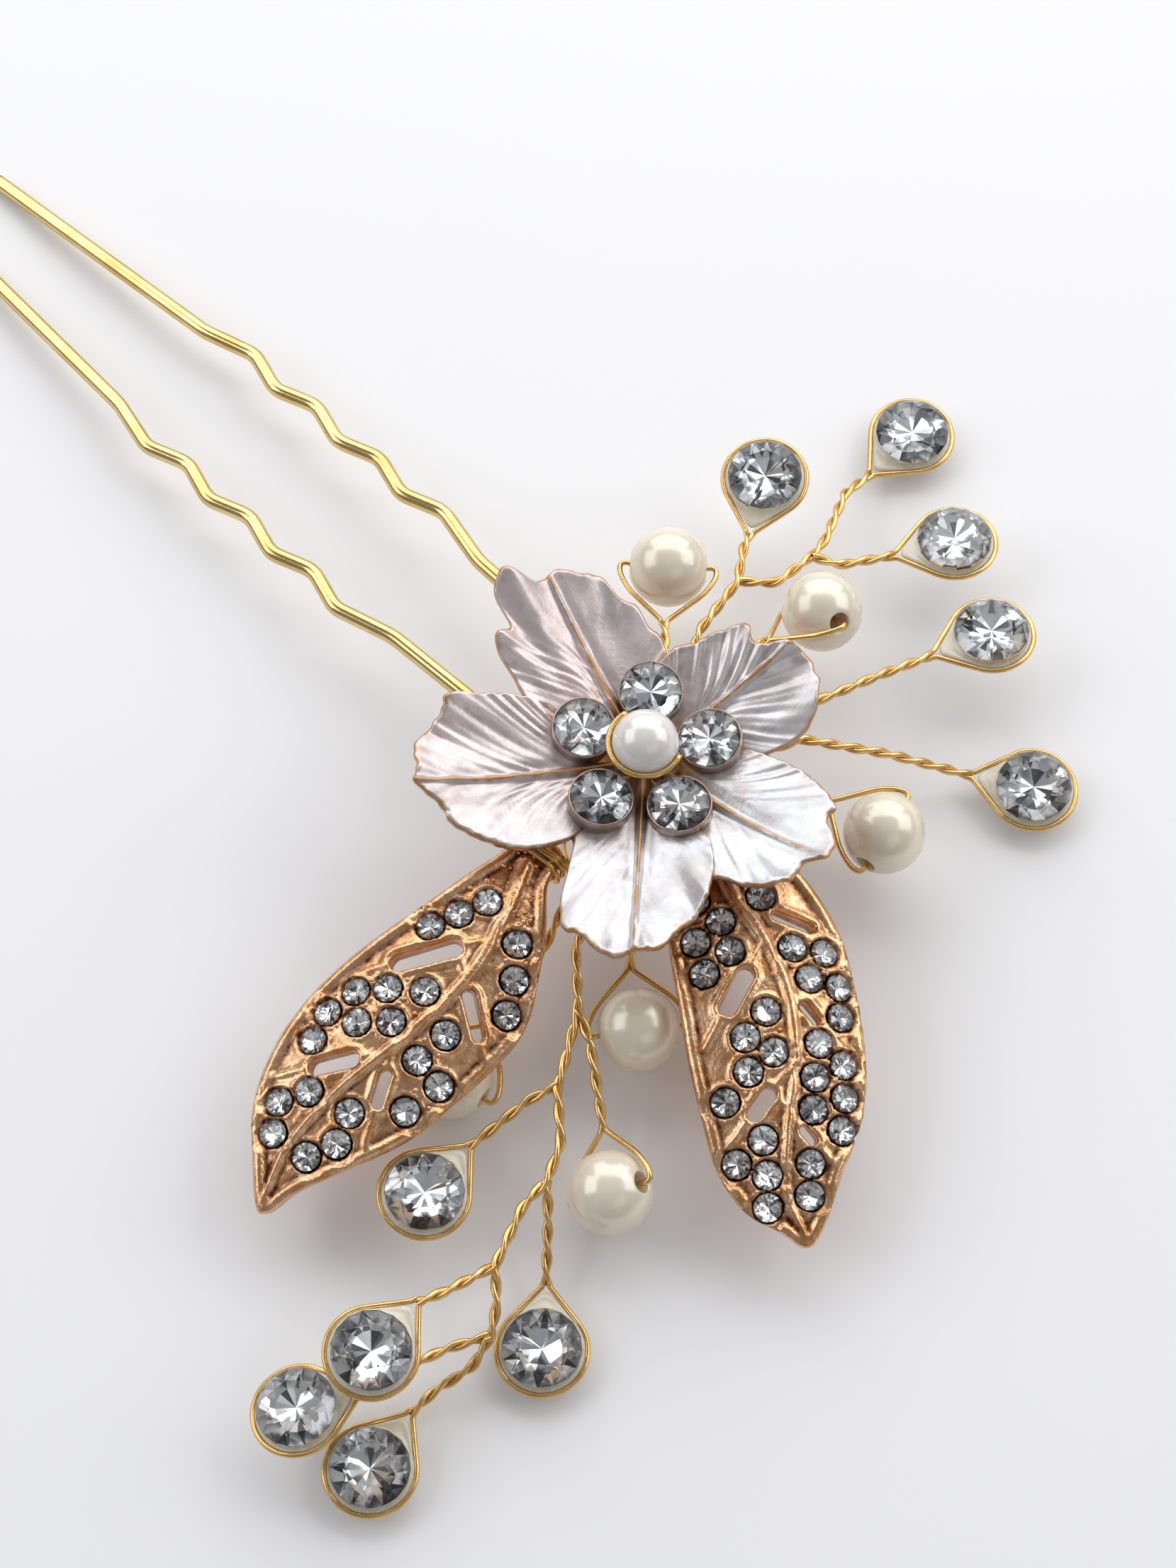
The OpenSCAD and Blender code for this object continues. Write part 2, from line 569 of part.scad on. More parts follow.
module drop_resin(k) {
  b = acos(loop_r / loop_neck);
  inner = wire_d / 2 + gap;
  r = loop_r - inner;
  n = loop_neck - inner / sin(90 - b);
  color("#efe9dc")
    at_drop(k)
      difference() {
        translate([0, 0, -web_t / 2])
          union() {
            cylinder(r = r, h = web_t);
            linear_extrude(height = web_t)
              polygon([[-r * cos(b), r * sin(b)], [-n + 0.4, 0], [-r * cos(b), -r * sin(b)]]);
          }
        translate([0, 0, drop_seat])
          stone_room(drop_d, 0.3, drop_depth - 0.3, gap, 2);
      }
}

// ---------- pearls ----------
module at_pearl(k) {
  p = PEARLS[k - 1];
  at_spray()
    translate([p[0], p[1], p[2]])
      rotate([0, 0, p[3]])
        rotate([p[4], 0, 0])
          children();
}
module pearl(k) {
  color("#f1e8d6")
    at_pearl(k)
      difference() {
        sphere(d = pearl_d);
        rotate([90, 0, 0])
          translate([0, 0, -pearl_d])
            cylinder(d = pearl_bore, h = 2 * pearl_d);
      }
}
// a point of the pearl's loop plane in the spray's frame
function pearl_xyz(k, x, y) = let (p = PEARLS[k - 1], v = y * cos(p[4]))
  [p[0] + x * cos(p[3]) - v * sin(p[3]), p[1] + x * sin(p[3]) + v * cos(p[3]), p[2] + y * sin(p[4])];
// a stem that ends in a loop through the bore of pearl k
function pearl_line(k, stem, d0) = let (n = len(stem), w = bore_line)
  rounded(concat(stem, [pearl_xyz(k, -pearl_neck, 0), pearl_xyz(k, -pearl_d / 4, loop_knee), pearl_xyz(k, 0, w),
      pearl_xyz(k, 0, -w), pearl_xyz(k, -pearl_d / 4, -loop_knee), pearl_xyz(k, -pearl_neck + 0.55, -0.62)]),
    [for (i = [0 : n + 5]) i < n ? 1.6 : [0.6, 1.5, 0.45, 0.45, 1.5, 0][i - n]],
    concat([d0], [for (i = [1 : n]) stem_d], [for (i = [0 : 4]) wire_d]));
module pearl_wire(k, stem, d0 = stem_d) {
  sweep(pearl_line(k, stem, d0));
}

// ---------- stems ----------
module gold_wire() {
  color("#d8b04c")
    at_spray()
      children();
}
branch_d = 0.56;
module wire_pearl_1() {
  gold_wire()
    pearl_wire(1, [[2.9, 2.2, 7.75], [8.3, 5.9, 7.0]]);
}
module wire_upper_branch() {
  a = [16.4, 6.2, 6.6];
  b = [22.2, 4.0, 5.6];
  gold_wire() {
    drop_wire(1, [[3.4, 0.9, 7.75], [11.2, 5.2, 7.2], a, [19, 8, 6.3]]);
    drop_wire(2, [a, [18.4, 4.2, 6.2], b, [24.1, 4.4, 5.1], [28.9, 6.6, 3.3]], branch_d);
    drop_wire(3, [b, [23.3, 2.2, 5.1]], branch_d);
  }
}
module wire_pearl_2() {
  gold_wire()
    pearl_wire(2, [[3.6, -0.5, 7.75], [10, 2.3, 7.2]]);
}
module wire_drop_4() {
  gold_wire()
    drop_wire(4, [[3.3, -1.7, 7.75], [10, -3.6, 7.1], [18.4, -6.3, 5.7]]);
}
module wire_drop_5() {
  gold_wire()
    drop_wire(5, [[2.6, -2.8, 7.75], [10.2, -6.1, 6.9], [14.5, -10.7, 4.7]]);
}
module wire_pearl_3() {
  gold_wire()
    pearl_wire(3, [[1.4, -4.1, 7.75], [5.5, -6.5, 7.0]]);
}
module wire_pearl_4() {
  gold_wire()
    pearl_wire(4, [[-2.0, -3.2, 7.75], [-7, -6, 7.0]]);
}
module wire_pearl_6() {
  gold_wire()
    pearl_wire(6, [[-3.6, 0.4, 7.75], [-8, -1.6, 6.4], [-14.1, -3.6, 4.6]]);
}
module wire_lower_branch() {
  j1 = [-15.9, -8.9, 6.2];
  j2 = [-20.8, -11.7, 5.6];
  j3 = [-26, -15.8, 4.7];
  j4 = [-32.8, -17.5, 4.6];
  j5 = [-36.2, -20.5, 3.3];
  gold_wire() {
    drop_wire(9, [[-3.2, -1.7, 7.75], [-8, -3.9, 7.2], [-12.7, -5.6, 6.8], j1, [-19.3, -10.9, 5.8], j2,
      [-23.5, -14.7, 5.0], j3, [-28.4, -15.9, 4.7], j4, [-34.4, -19.3, 3.9], j5, [-38.6, -21.0, 2.6],
      [-41.4, -20.2, 1.8]]);
    pearl_wire(5, [j1, [-17, -11.2, 5.9]], branch_d);
    drop_wire(6, [j2, [-22.8, -10.9, 5.2]], branch_d);
    drop_wire(10, [j3, [-27.3, -17.2, 4.0], [-30.1, -19.8, 2.3]], branch_d);
    drop_wire(7, [j4, [-36.6, -16.6, 5.6]], branch_d);
    drop_wire(8, [j5, [-38.9, -19.0, 3.2]], branch_d);
  }
}

hair_fork();
crown_binding();
flower_casting();
centre_pearl();
centre_wire();
centre_stone(1);  // centre_stone_1
centre_stone(2);  // centre_stone_2
centre_stone(3);  // centre_stone_3
centre_stone(4);  // centre_stone_4
centre_stone(5);  // centre_stone_5
leaf_left();
leaf_right();
leaf_left_stones();
leaf_right_stones();
leaf_left_binding();
leaf_right_binding();
drop_stone(1);  // drop_stone_1
drop_stone(2);  // drop_stone_2
drop_stone(3);  // drop_stone_3
drop_stone(4);  // drop_stone_4
drop_stone(5);  // drop_stone_5
drop_stone(6);  // drop_stone_6
drop_stone(7);  // drop_stone_7
drop_stone(8);  // drop_stone_8
drop_stone(9);  // drop_stone_9
drop_stone(10);  // drop_stone_10
drop_resin(1);  // drop_resin_1
drop_resin(2);  // drop_resin_2
drop_resin(3);  // drop_resin_3
drop_resin(4);  // drop_resin_4
drop_resin(5);  // drop_resin_5
drop_resin(6);  // drop_resin_6
drop_resin(7);  // drop_resin_7
drop_resin(8);  // drop_resin_8
drop_resin(9);  // drop_resin_9
drop_resin(10);  // drop_resin_10
pearl(1);  // pearl_1
pearl(2);  // pearl_2
pearl(3);  // pearl_3
pearl(4);  // pearl_4
pearl(5);  // pearl_5
pearl(6);  // pearl_6
wire_pearl_1();
wire_upper_branch();
wire_pearl_2();
wire_drop_4();
wire_drop_5();
wire_pearl_3();
wire_pearl_4();
wire_pearl_6();
wire_lower_branch();
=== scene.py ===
import bpy
import math
import numpy as np
from mathutils import Matrix, Vector
from mathutils.geometry import delaunay_2d_cdt


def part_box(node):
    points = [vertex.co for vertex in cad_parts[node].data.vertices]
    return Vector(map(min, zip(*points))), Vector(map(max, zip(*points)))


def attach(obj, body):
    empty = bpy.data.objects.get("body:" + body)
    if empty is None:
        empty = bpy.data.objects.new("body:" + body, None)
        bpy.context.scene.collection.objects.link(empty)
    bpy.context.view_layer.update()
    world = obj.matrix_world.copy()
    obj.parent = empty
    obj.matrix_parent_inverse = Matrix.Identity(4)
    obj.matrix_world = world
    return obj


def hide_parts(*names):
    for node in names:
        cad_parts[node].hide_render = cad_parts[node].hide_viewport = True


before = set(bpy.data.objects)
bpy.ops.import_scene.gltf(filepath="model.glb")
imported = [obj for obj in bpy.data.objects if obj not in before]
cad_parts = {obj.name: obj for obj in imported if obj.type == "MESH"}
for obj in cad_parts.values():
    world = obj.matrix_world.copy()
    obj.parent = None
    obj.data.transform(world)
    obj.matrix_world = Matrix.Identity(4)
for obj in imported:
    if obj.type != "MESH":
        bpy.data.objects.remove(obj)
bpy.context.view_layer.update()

# ---------- sizes of the pin, in millimetres ----------
MM = 0.001
WIRE = 0.4
low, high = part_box("centre_pearl")
AXIS = np.array([round((low[i] + high[i]) / 2 / MM, 2) for i in (0, 1)] + [0.0])
FLOWER_Z = 9.95
GAP = 0.03
FORK_D = 1.2
CROWN_R = 3.6
CROWN_Z = 6.2
LEG_HALF, TAIL, TAIL_LEAN = 5.15, 23.5, 1.5
WAVE_START, WAVE_PITCH, WAVE_SWING, WAVE_BEND_R = 26.4, 7, 0.56, 2.2
LEG_BEND_R = 6
BOWL_R = 34
PLATE_TOP = 0.45
CENTRE_PEARL_R = 2.4
STONE_D = 5.6
STONE_SEAT = 0.75
LOOP_R = STONE_D / 2 + 0.35
LOOP_NECK = 4.6
PEARL_D = 6.0
STEM_BEND_R = 1.6
TWIST_PITCH = 3.8
HUB_Z = 7.75

# stone drops: loop centre x, y, height, azimuth it points to, lean, azimuth of the lean
DROPS = [(24.4, 10.9, 6.0, 29, 6, 200), (37.0, 6.9, 1.56, 0, 0, 0), (31.2, -2.4, 4.0, 327, 8, 60),
         (27.1, -9.7, 4.6, 335, 8, 60), (21.1, -19.6, 1.56, 300, 0, 0), (-32.6, -10.4, 4.6, 183, 5, 300),
         (-43.2, -16.2, 6.3, 184, 5, 300), (-49.1, -15.0, 4.0, 152, 12, 100), (-48.2, -20.9, 1.56, 190, 0, 0),
         (-34.2, -23.4, 1.56, 221, 0, 0)]
# pearls: centre x, y, z, azimuth away from the flower, roll of the wire's loop
PEARLS = [(13.9, 10.9, 6.0, 40, 0), (19.2, 0.2, 6.0, 345, -40), (9.6, -14.9, 5.0, 283, 0),
          (-13.35, -12.45, 3.9, 232, 0), (-23.4, -19.4, 4.0, 230, 40), (-24.9, -5.2, 3.05, 190, 0)]


# ---------- placing ----------
def shift(x, y, z):
    return Matrix.Translation((x, y, z))


def turn(degrees, axis):
    return Matrix.Rotation(math.radians(degrees), 4, axis)


def moved(matrix, points):
    m = np.array(matrix)
    return np.asarray(points, float) @ m[:3, :3].T + m[:3, 3]


ON_AXIS = shift(*AXIS)
ON_FLOWER = ON_AXIS @ shift(0, 0, FLOWER_Z)


def drop_place(k):
    x, y, z, azimuth, lean, lean_to = DROPS[k - 1]
    return ON_AXIS @ shift(x, y, z) @ turn(lean_to, "Z") @ turn(lean, "Y") @ turn(azimuth - lean_to, "Z")


def pearl_place(k):
    x, y, z, azimuth, roll = PEARLS[k - 1]
    return ON_AXIS @ shift(x, y, z) @ turn(azimuth, "Z") @ turn(roll, "X")


# ---------- materials ----------
def linear(code):
    """An sRGB hex colour as linear numbers."""
    parts = [int(code[i:i + 2], 16) / 255 for i in (1, 3, 5)]
    return tuple(c / 12.92 if c <= 0.04045 else ((c + 0.055) / 1.055) ** 2.4 for c in parts) + (1.0,)


def add(tree, kind, inputs=None, **settings):
    """Adds a node: an input given a socket is linked to it, and any other input is set."""
    made = tree.nodes.new(kind)
    for key, value in settings.items():
        setattr(made, key, value)
    for key, value in (inputs or {}).items():
        socket = made.inputs[key]
        if isinstance(value, bpy.types.NodeSocket):
            tree.links.new(value, socket)
        else:
            socket.default_value = value
    return made


def finish(name, **constants):
    """A new material, with the constants set on its shader. Gives its tree, shader and place coordinates."""
    made = bpy.data.materials.new(name)
    made.use_nodes = True
    tree = made.node_tree
    tree.nodes.clear()
    shader = add(tree, "ShaderNodeBsdfPrincipled")
    for key, value in constants.items():
        shader.inputs[key.replace("_", " ")].default_value = value
    add(tree, "ShaderNodeOutputMaterial", {"Surface": shader.outputs[0]})
    place = add(tree, "ShaderNodeTexCoord").outputs["Object"]
    return made, tree, shader, place


def noise(tree, place, size_mm, detail=3.0, roughness=0.5):
    """Cloudy pattern whose blotches are about size_mm across."""
    return add(tree, "ShaderNodeTexNoise", {"Vector": place, "Scale": 1 / (size_mm * MM), "Detail": detail,
                                            "Roughness": roughness}).outputs["Fac"]


def ramp(tree, value, low_in, high_in, low_out=0.0, high_out=1.0):
    return add(tree, "ShaderNodeMapRange", {"Value": value, "From Min": low_in, "From Max": high_in,
                                            "To Min": low_out, "To Max": high_out}).outputs["Result"]


def blend(tree, share, a, b):
    """Colour a where share is 0 and b where it is 1."""
    return add(tree, "ShaderNodeMix", {"Factor": share, "A": a, "B": b}, data_type="RGBA").outputs["Result"]


def mark(tree, name):
    return add(tree, "ShaderNodeAttribute", attribute_name=name).outputs["Fac"]


def maths(tree, operation, a, b=0.0):
    made = add(tree, "ShaderNodeMath", {0: a, 1: b}, operation=operation)
    return made.outputs[0]


def bump(tree, shader, height, depth_mm, strength=1.0):
    made = add(tree, "ShaderNodeBump", {"Height": height, "Strength": strength, "Distance": depth_mm * MM})
    tree.links.new(made.outputs["Normal"], shader.inputs["Normal"])


def plated_wire(name, patch_mm, colours, gloss, grain_mm, grain_deep):
    """Plated wire: two shades in patches, a range of roughness, and fine draw marks."""
    made, tree, shader, place = finish(name, Metallic=1.0)
    patch = noise(tree, place, patch_mm)
    tree.links.new(blend(tree, ramp(tree, patch, 0.35, 0.7), *map(linear, colours)),
                   shader.inputs["Base Color"])
    tree.links.new(ramp(tree, patch, 0.3, 0.7, *gloss), shader.inputs["Roughness"])
    bump(tree, shader, noise(tree, place, grain_mm), grain_deep)
    return made


# zinc casting, rose gold plated and tumbled: two tones in random patches, grainier and rougher in the
# hollows; painted shade: deep brown is painted into the hollows
def rose_gold_plated_casting():
    made, tree, shader, place = finish("rose_gold_plated_casting", Metallic=1.0)
    hollow = mark(tree, "hollow")
    patch = noise(tree, place, 1.2, 4.0)
    bright = blend(tree, ramp(tree, patch, 0.35, 0.65), linear("#F0C39B"), linear("#D8A06E"))
    # painted shade: depth follows the hollow mark, and deep brown is blended in where it is high
    depth = ramp(tree, maths(tree, "ADD", hollow, ramp(tree, noise(tree, place, 0.5), 0.3, 0.7, -0.22, 0.22)),
                 0.25, 0.95)
    tree.links.new(blend(tree, depth, bright, linear("#55291A")), shader.inputs["Base Color"])
    tree.links.new(ramp(tree, depth, 0.0, 1.0, 0.22, 0.5), shader.inputs["Roughness"])
    bump(tree, shader, noise(tree, place, 0.35, 4.0, 0.6), 0.05)
    return made


# pearl enamel sprayed over a gold casting: satin silver white, rubbed through to gold on edges and veins;
# painted shade: a darker brown is painted in the rib grooves and towards the middle of the flower
def pearl_enamel_over_gold():
    made, tree, shader, place = finish("pearl_enamel_over_gold", Coat_Roughness=0.15, Coat_Weight=0.35)
    fleck = ramp(tree, noise(tree, place, 0.8, 5.0), 0.3, 0.7, -0.3, 0.3)
    worn = ramp(tree, maths(tree, "ADD", mark(tree, "gold"), fleck), 0.45, 0.8)
    cool = blend(tree, mark(tree, "rosy"), linear("#D9DCE0"), linear("#DECFCE"))
    cloud = blend(tree, ramp(tree, noise(tree, place, 2.6, 4.0), 0.42, 0.72), cool, linear("#C0B8B7"))
    # painted shade: this mark blends a darker brown into the enamel, and makes it more metallic there
    warm = ramp(tree, maths(tree, "ADD", mark(tree, "warm"), fleck), 0.2, 1.05)
    cream = blend(tree, warm, cloud, linear("#A98F7C"))
    tree.links.new(blend(tree, worn, cream, linear("#C2915C")), shader.inputs["Base Color"])
    tree.links.new(ramp(tree, warm, 0.0, 1.0, 0.55, 0.9), shader.inputs["Metallic"])
    tree.links.new(ramp(tree, noise(tree, place, 1.6, 4.0), 0.3, 0.7, 0.24, 0.4), shader.inputs["Roughness"])
    bump(tree, shader, noise(tree, place, 0.3, 5.0, 0.6), 0.03, 0.8)
    return made


# pressed lead glass, cut and polished: clear, with sharp facet edges
def cut_glass():
    made, tree, shader, place = finish("cut_crystal_glass", Roughness=0.0, IOR=1.56, Transmission_Weight=1.0)
    tint = noise(tree, place, 4.0)
    tree.links.new(blend(tree, tint, linear("#FFFFFF"), linear("#F4F8FC")), shader.inputs["Base Color"])
    return made


# silver mirror fired on to the back of the stone, seen through the glass; painted reflection: facets with the
# shade mark are painted dark grey
def silver_foil_back():
    made, tree, shader, place = finish("silver_foil_back", Metallic=1.0, Roughness=0.16)
    tint = blend(tree, noise(tree, place, 1.5), linear("#FFFFFF"), linear("#F0F1F2"))
    tree.links.new(blend(tree, mark(tree, "shade"), tint, linear("#4C4F54")), shader.inputs["Base Color"])
    return made


# moulded bead dipped in pearl lacquer: creamy, soft gloss, a little light passing under the skin; painted
# shade darkens its outline
def pearl_lacquer(name, body, shade):
    made, tree, shader, place = finish(name, Coat_Weight=0.7, Coat_Roughness=0.12, Subsurface_Weight=0.25,
                                       Subsurface_Scale=0.002, Specular_IOR_Level=0.6, Coat_IOR=1.6)
    # painted shade: the colour is painted darker, towards the shade colour, where the bead turns away from
    # view at its outline
    rim = add(tree, "ShaderNodeLayerWeight", {"Blend": 0.35}).outputs["Facing"]
    cloud = blend(tree, noise(tree, place, 2.5), linear(body), linear(shade))
    tree.links.new(blend(tree, ramp(tree, rim, 0.3, 1.0, 0.0, 0.8), cloud, linear(shade)),
                   shader.inputs["Base Color"])
    tree.links.new(ramp(tree, rim, 0.0, 1.0, 0.16, 0.05), shader.inputs["Metallic"])
    tree.links.new(ramp(tree, noise(tree, place, 1.2), 0.3, 0.7, 0.2, 0.3), shader.inputs["Roughness"])
    bump(tree, shader, noise(tree, place, 0.9, 3.0), 0.02, 0.5)
    return made


# ultraviolet-cured resin: milky champagne film with small cloudy spots
def milky_resin():
    made, tree, shader, place = finish("milky_resin", IOR=1.5, Transmission_Weight=0.3, Coat_Weight=0.5)
    cloud = ramp(tree, noise(tree, place, 0.9, 4.0), 0.35, 0.7)
    tree.links.new(blend(tree, cloud, linear("#EFE4C8"), linear("#FAF6EC")), shader.inputs["Base Color"])
    tree.links.new(ramp(tree, cloud, 0.0, 1.0, 0.15, 0.35), shader.inputs["Roughness"])
    bump(tree, shader, noise(tree, place, 1.2, 3.0), 0.05)
    return made


# matt white seamless paper
def pale_paper():
    made, tree, shader, place = finish("pale_paper", Roughness=0.85)
    cloud = noise(tree, place, 60.0)
    tree.links.new(blend(tree, cloud, linear("#FAFAFC"), linear("#F7F7F9")), shader.inputs["Base Color"])
    return made


# drawn copper craft wire, gold plated: bright and yellow, with faint draw marks and duller patches
GOLD = plated_wire("gold_plated_craft_wire", 1.6, ("#EFC988", "#DAAD66"), (0.2, 0.3), 0.12, 0.01)
# spring wire, nickel then pale champagne gold plated and polished: clean mirror streaks, hardly any grain
FORK = plated_wire("champagne_plated_fork_wire", 3.0, ("#E8CE92", "#D6B574"), (0.12, 0.19), 0.2, 0.004)
ROSE = rose_gold_plated_casting()
ENAMEL = pearl_enamel_over_gold()
GLASS = cut_glass()
FOIL = silver_foil_back()
IVORY = pearl_lacquer("ivory_pearl_lacquer", "#FAF5E8", "#E6DABF")
WHITE = pearl_lacquer("white_pearl_lacquer", "#FBFAF7", "#E4E0DA")
RESIN = milky_resin()


# ---------- meshes ----------
def skin(name, points, faces, finishes, picks=None, marks=None, smooth=True):
    """A mesh object from points in millimetres, with a finish number for each face and named marks."""
    mesh = bpy.data.meshes.new(name)
    mesh.from_pydata((np.asarray(points, float) * MM).tolist(), [], [tuple(int(i) for i in f) for f in faces])
    for each in finishes:
        mesh.materials.append(each)
    if picks is not None:
        mesh.polygons.foreach_set("material_index", np.asarray(picks, np.int32))
    mesh.polygons.foreach_set("use_smooth", np.full(len(mesh.polygons), smooth))
    for key, values in (marks or {}).items():
        mesh.attributes.new(key, "FLOAT", "POINT").data.foreach_set("value", np.asarray(values, np.float32))
    mesh.update()
    made = bpy.data.objects.new(name, mesh)
    bpy.context.scene.collection.objects.link(made)
    return made


def belongs(obj, slot_name, *stands_for, body="pin"):
    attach(obj, body)
    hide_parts(*stands_for)
    return obj


class Build:
    """Collects the points and faces of several shells for one mesh."""

    def __init__(self):
        self.points, self.faces, self.picks, self.marks, self.count = [], [], [], {}, 0

    def put(self, points, faces, pick=0, **marks):
        points = np.asarray(points, float)
        for key in set(self.marks) | set(marks):
            store = self.marks.setdefault(key, [np.zeros(self.count)] if self.count else [])
            value = marks.get(key, 0.0)
            store.append(np.broadcast_to(np.asarray(value, float), (len(points),)))
        self.points.append(points)
        self.faces += [tuple(int(i) + self.count for i in f) for f in faces]
        self.picks += [pick] * len(faces) if np.isscalar(pick) else list(pick)
        self.count += len(points)

    def mesh(self, name, finishes, smooth=True):
        marks = {key: np.concatenate(value) for key, value in self.marks.items()}
        return skin(name, np.concatenate(self.points), self.faces, finishes, self.picks, marks, smooth)


def piece(name, material, slot_name, node, shape, place=None, body="pin"):
    """One shell of one material that stands for a node of the frame."""
    points, faces = shape
    made = Build()
    made.put(points if place is None else moved(place, points), faces)
    belongs(made.mesh(name, [material]), slot_name, node, body=body)


def grid_faces(rows, columns, closed=False, flip=False):
    """Faces of a grid of points counted row by row; closed joins the last column to the first."""
    out = []
    for i in range(rows - 1):
        for j in range(columns if closed else columns - 1):
            k = (j + 1) % columns
            face = (i * columns + j, i * columns + k, (i + 1) * columns + k, (i + 1) * columns + j)
            out.append(face[::-1] if flip else face)
    return out


def rounded(points, radii, step=8.0):
    """A path through points with its corners rounded."""
    p = [np.array(q, float) for q in points]
    out = [p[0]]
    for i in range(1, len(p) - 1):
        a, b = p[i] - p[i - 1], p[i + 1] - p[i]
        a, b = a / np.linalg.norm(a), b / np.linalg.norm(b)
        angle = math.acos(max(-1, min(1, float(a @ b))))
        if angle < 0.02:
            out.append(p[i])
            continue
        n = b - a * (a @ b)
        n /= np.linalg.norm(n)
        r = radii[i]
        c = p[i] - a * r * math.tan(angle / 2) + n * r
        m = max(2, math.ceil(math.degrees(angle) / step))
        out += [c - n * r * math.cos(angle * k / m) + a * r * math.sin(angle * k / m) for k in range(m + 1)]
    return np.array(out + [p[-1]])


def spline(points, each=8, closed=False):
    """A smooth path through the given points."""
    p = np.asarray(points, float)
    n = len(p)
    out = []
    for i in range(n if closed else n - 1):
        q = [p[(i + k) % n] if closed else p[min(n - 1, max(0, i + k))] for k in (-1, 0, 1, 2)]
        for k in range(each):
            t = k / each
            out.append(0.5 * (2 * q[1] + (q[2] - q[0]) * t + (2 * q[0] - 5 * q[1] + 4 * q[2] - q[3]) * t * t
                              + (3 * q[1] - q[0] - 3 * q[2] + q[3]) * t ** 3))
    return np.array(out if closed else out + [p[-1]])


def even(path, step):
    """The same path with its points step apart."""
    length = np.concatenate([[0], np.cumsum(np.linalg.norm(np.diff(path, axis=0), axis=1))])
    count = max(2, int(round(length[-1] / step)) + 1)
    at = np.linspace(0, length[-1], count)
    return np.stack([np.interp(at, length, path[:, i]) for i in range(3)], axis=1)


def directions(path):
    d = np.gradient(path, axis=0)
    return d / np.linalg.norm(d, axis=1)[:, None]


def carried(path, first):
    """The direction first, carried along the path without twist."""
    t = directions(path)
    side = first - t[0] * (first @ t[0])
    out = []
    for each in t:
        side = side - each * (side @ each)
        side /= np.linalg.norm(side)
        out.append(side)
    return np.array(out)


def tube(path, radius, sides):
    """A round wire along a path, with rounded ends."""
    path = np.asarray(path, float)
    t = directions(path)
    radius = np.broadcast_to(np.asarray(radius, float), (len(path),)).copy()
    caps = [(math.cos(a), math.sin(a)) for a in np.radians([80, 60, 40, 20])]
    head = [(path[0] + t[0] * radius[0] * (1 - s), radius[0] * c) for c, s in caps]
    tail = [(path[-1] - t[-1] * radius[-1] * (1 - s), radius[-1] * c) for c, s in caps[::-1]]
    path = np.concatenate([[h[0] for h in head], path[1:-1], [h[0] for h in tail]])
    radius = np.concatenate([[h[1] for h in head], radius[1:-1], [h[1] for h in tail]])
    t = directions(path)
    first = np.array([0, 0, 1.0]) if abs(t[0][2]) < 0.8 else np.array([1.0, 0, 0])
    side = carried(path, first)
    up = np.cross(t, side)
    a = np.linspace(0, 2 * math.pi, sides, endpoint=False)
    ring = path[:, None] + radius[:, None, None] * (side[:, None] * np.cos(a)[None, :, None]
                                                    + up[:, None] * np.sin(a)[None, :, None])
    n = len(path)
    faces = grid_faces(n, sides, closed=True)
    faces.append(tuple(range(sides - 1, -1, -1)))
    faces.append(tuple((n - 1) * sides + i for i in range(sides)))
    return ring.reshape(-1, 3), faces


def lathe(profile, sides=48, closed=True):
    """A turned shape about Z from (radius, height) pairs; a closed profile is a ring."""
    p = np.asarray(profile, float)
    a = np.linspace(0, 2 * math.pi, sides, endpoint=False)
    points = np.stack([p[:, None, 0] * np.cos(a), p[:, None, 0] * np.sin(a), np.repeat(p[:, 1:2], sides, 1)],
                      axis=2)
    n = len(p)
    faces = grid_faces(n, sides, closed=True)
    if closed:
        faces += [((n - 1) * sides + j, (n - 1) * sides + (j + 1) % sides, (j + 1) % sides, j)
                  for j in range(sides)]
    return points.reshape(-1, 3), faces


def ripple(x, y, seed):
    """A smooth uneven value from about -1 to 1."""
    rng = np.random.RandomState(seed)
    out = 0
    for _ in range(5):
        a, b, c = rng.uniform(-1, 1, 3)
        out = out + np.sin(x * (1 + a) * 2.1 + y * (b * 2.4) + c * 6.3)
    return out / 3.2


# ---------- geometry nodes ----------
def tree_with(name, inputs):
    tree = bpy.data.node_groups.new(name, "GeometryNodeTree")
    tree.interface.new_socket("Geometry", in_out="INPUT", socket_type="NodeSocketGeometry")
    for key, kind in inputs.items():
        tree.interface.new_socket(key, in_out="INPUT", socket_type=kind)
    tree.interface.new_socket("Geometry", in_out="OUTPUT", socket_type="NodeSocketGeometry")
    return tree, add(tree, "NodeGroupInput").outputs


def named(tree, key, kind="FLOAT"):
    return add(tree, "GeometryNodeInputNamedAttribute", {"Name": key}, data_type=kind).outputs["Attribute"]


def grow(obj, tree, **values):
    """Runs a tree on obj and keeps the result as a plain mesh."""
    step = obj.modifiers.new("grow", "NODES")
    step.node_group = tree
    for item in tree.interface.items_tree:
        key = item.name.replace(" ", "_")
        if item.in_out == "INPUT" and key in values:
            step[item.identifier] = values[key]
    obj.update_tag()
    bpy.context.view_layer.update()
    seen = obj.evaluated_get(bpy.context.evaluated_depsgraph_get())
    mesh = bpy.data.meshes.new_from_object(seen)
    obj.modifiers.remove(step)
    obj.data = mesh
    mesh.name = obj.name
    return obj


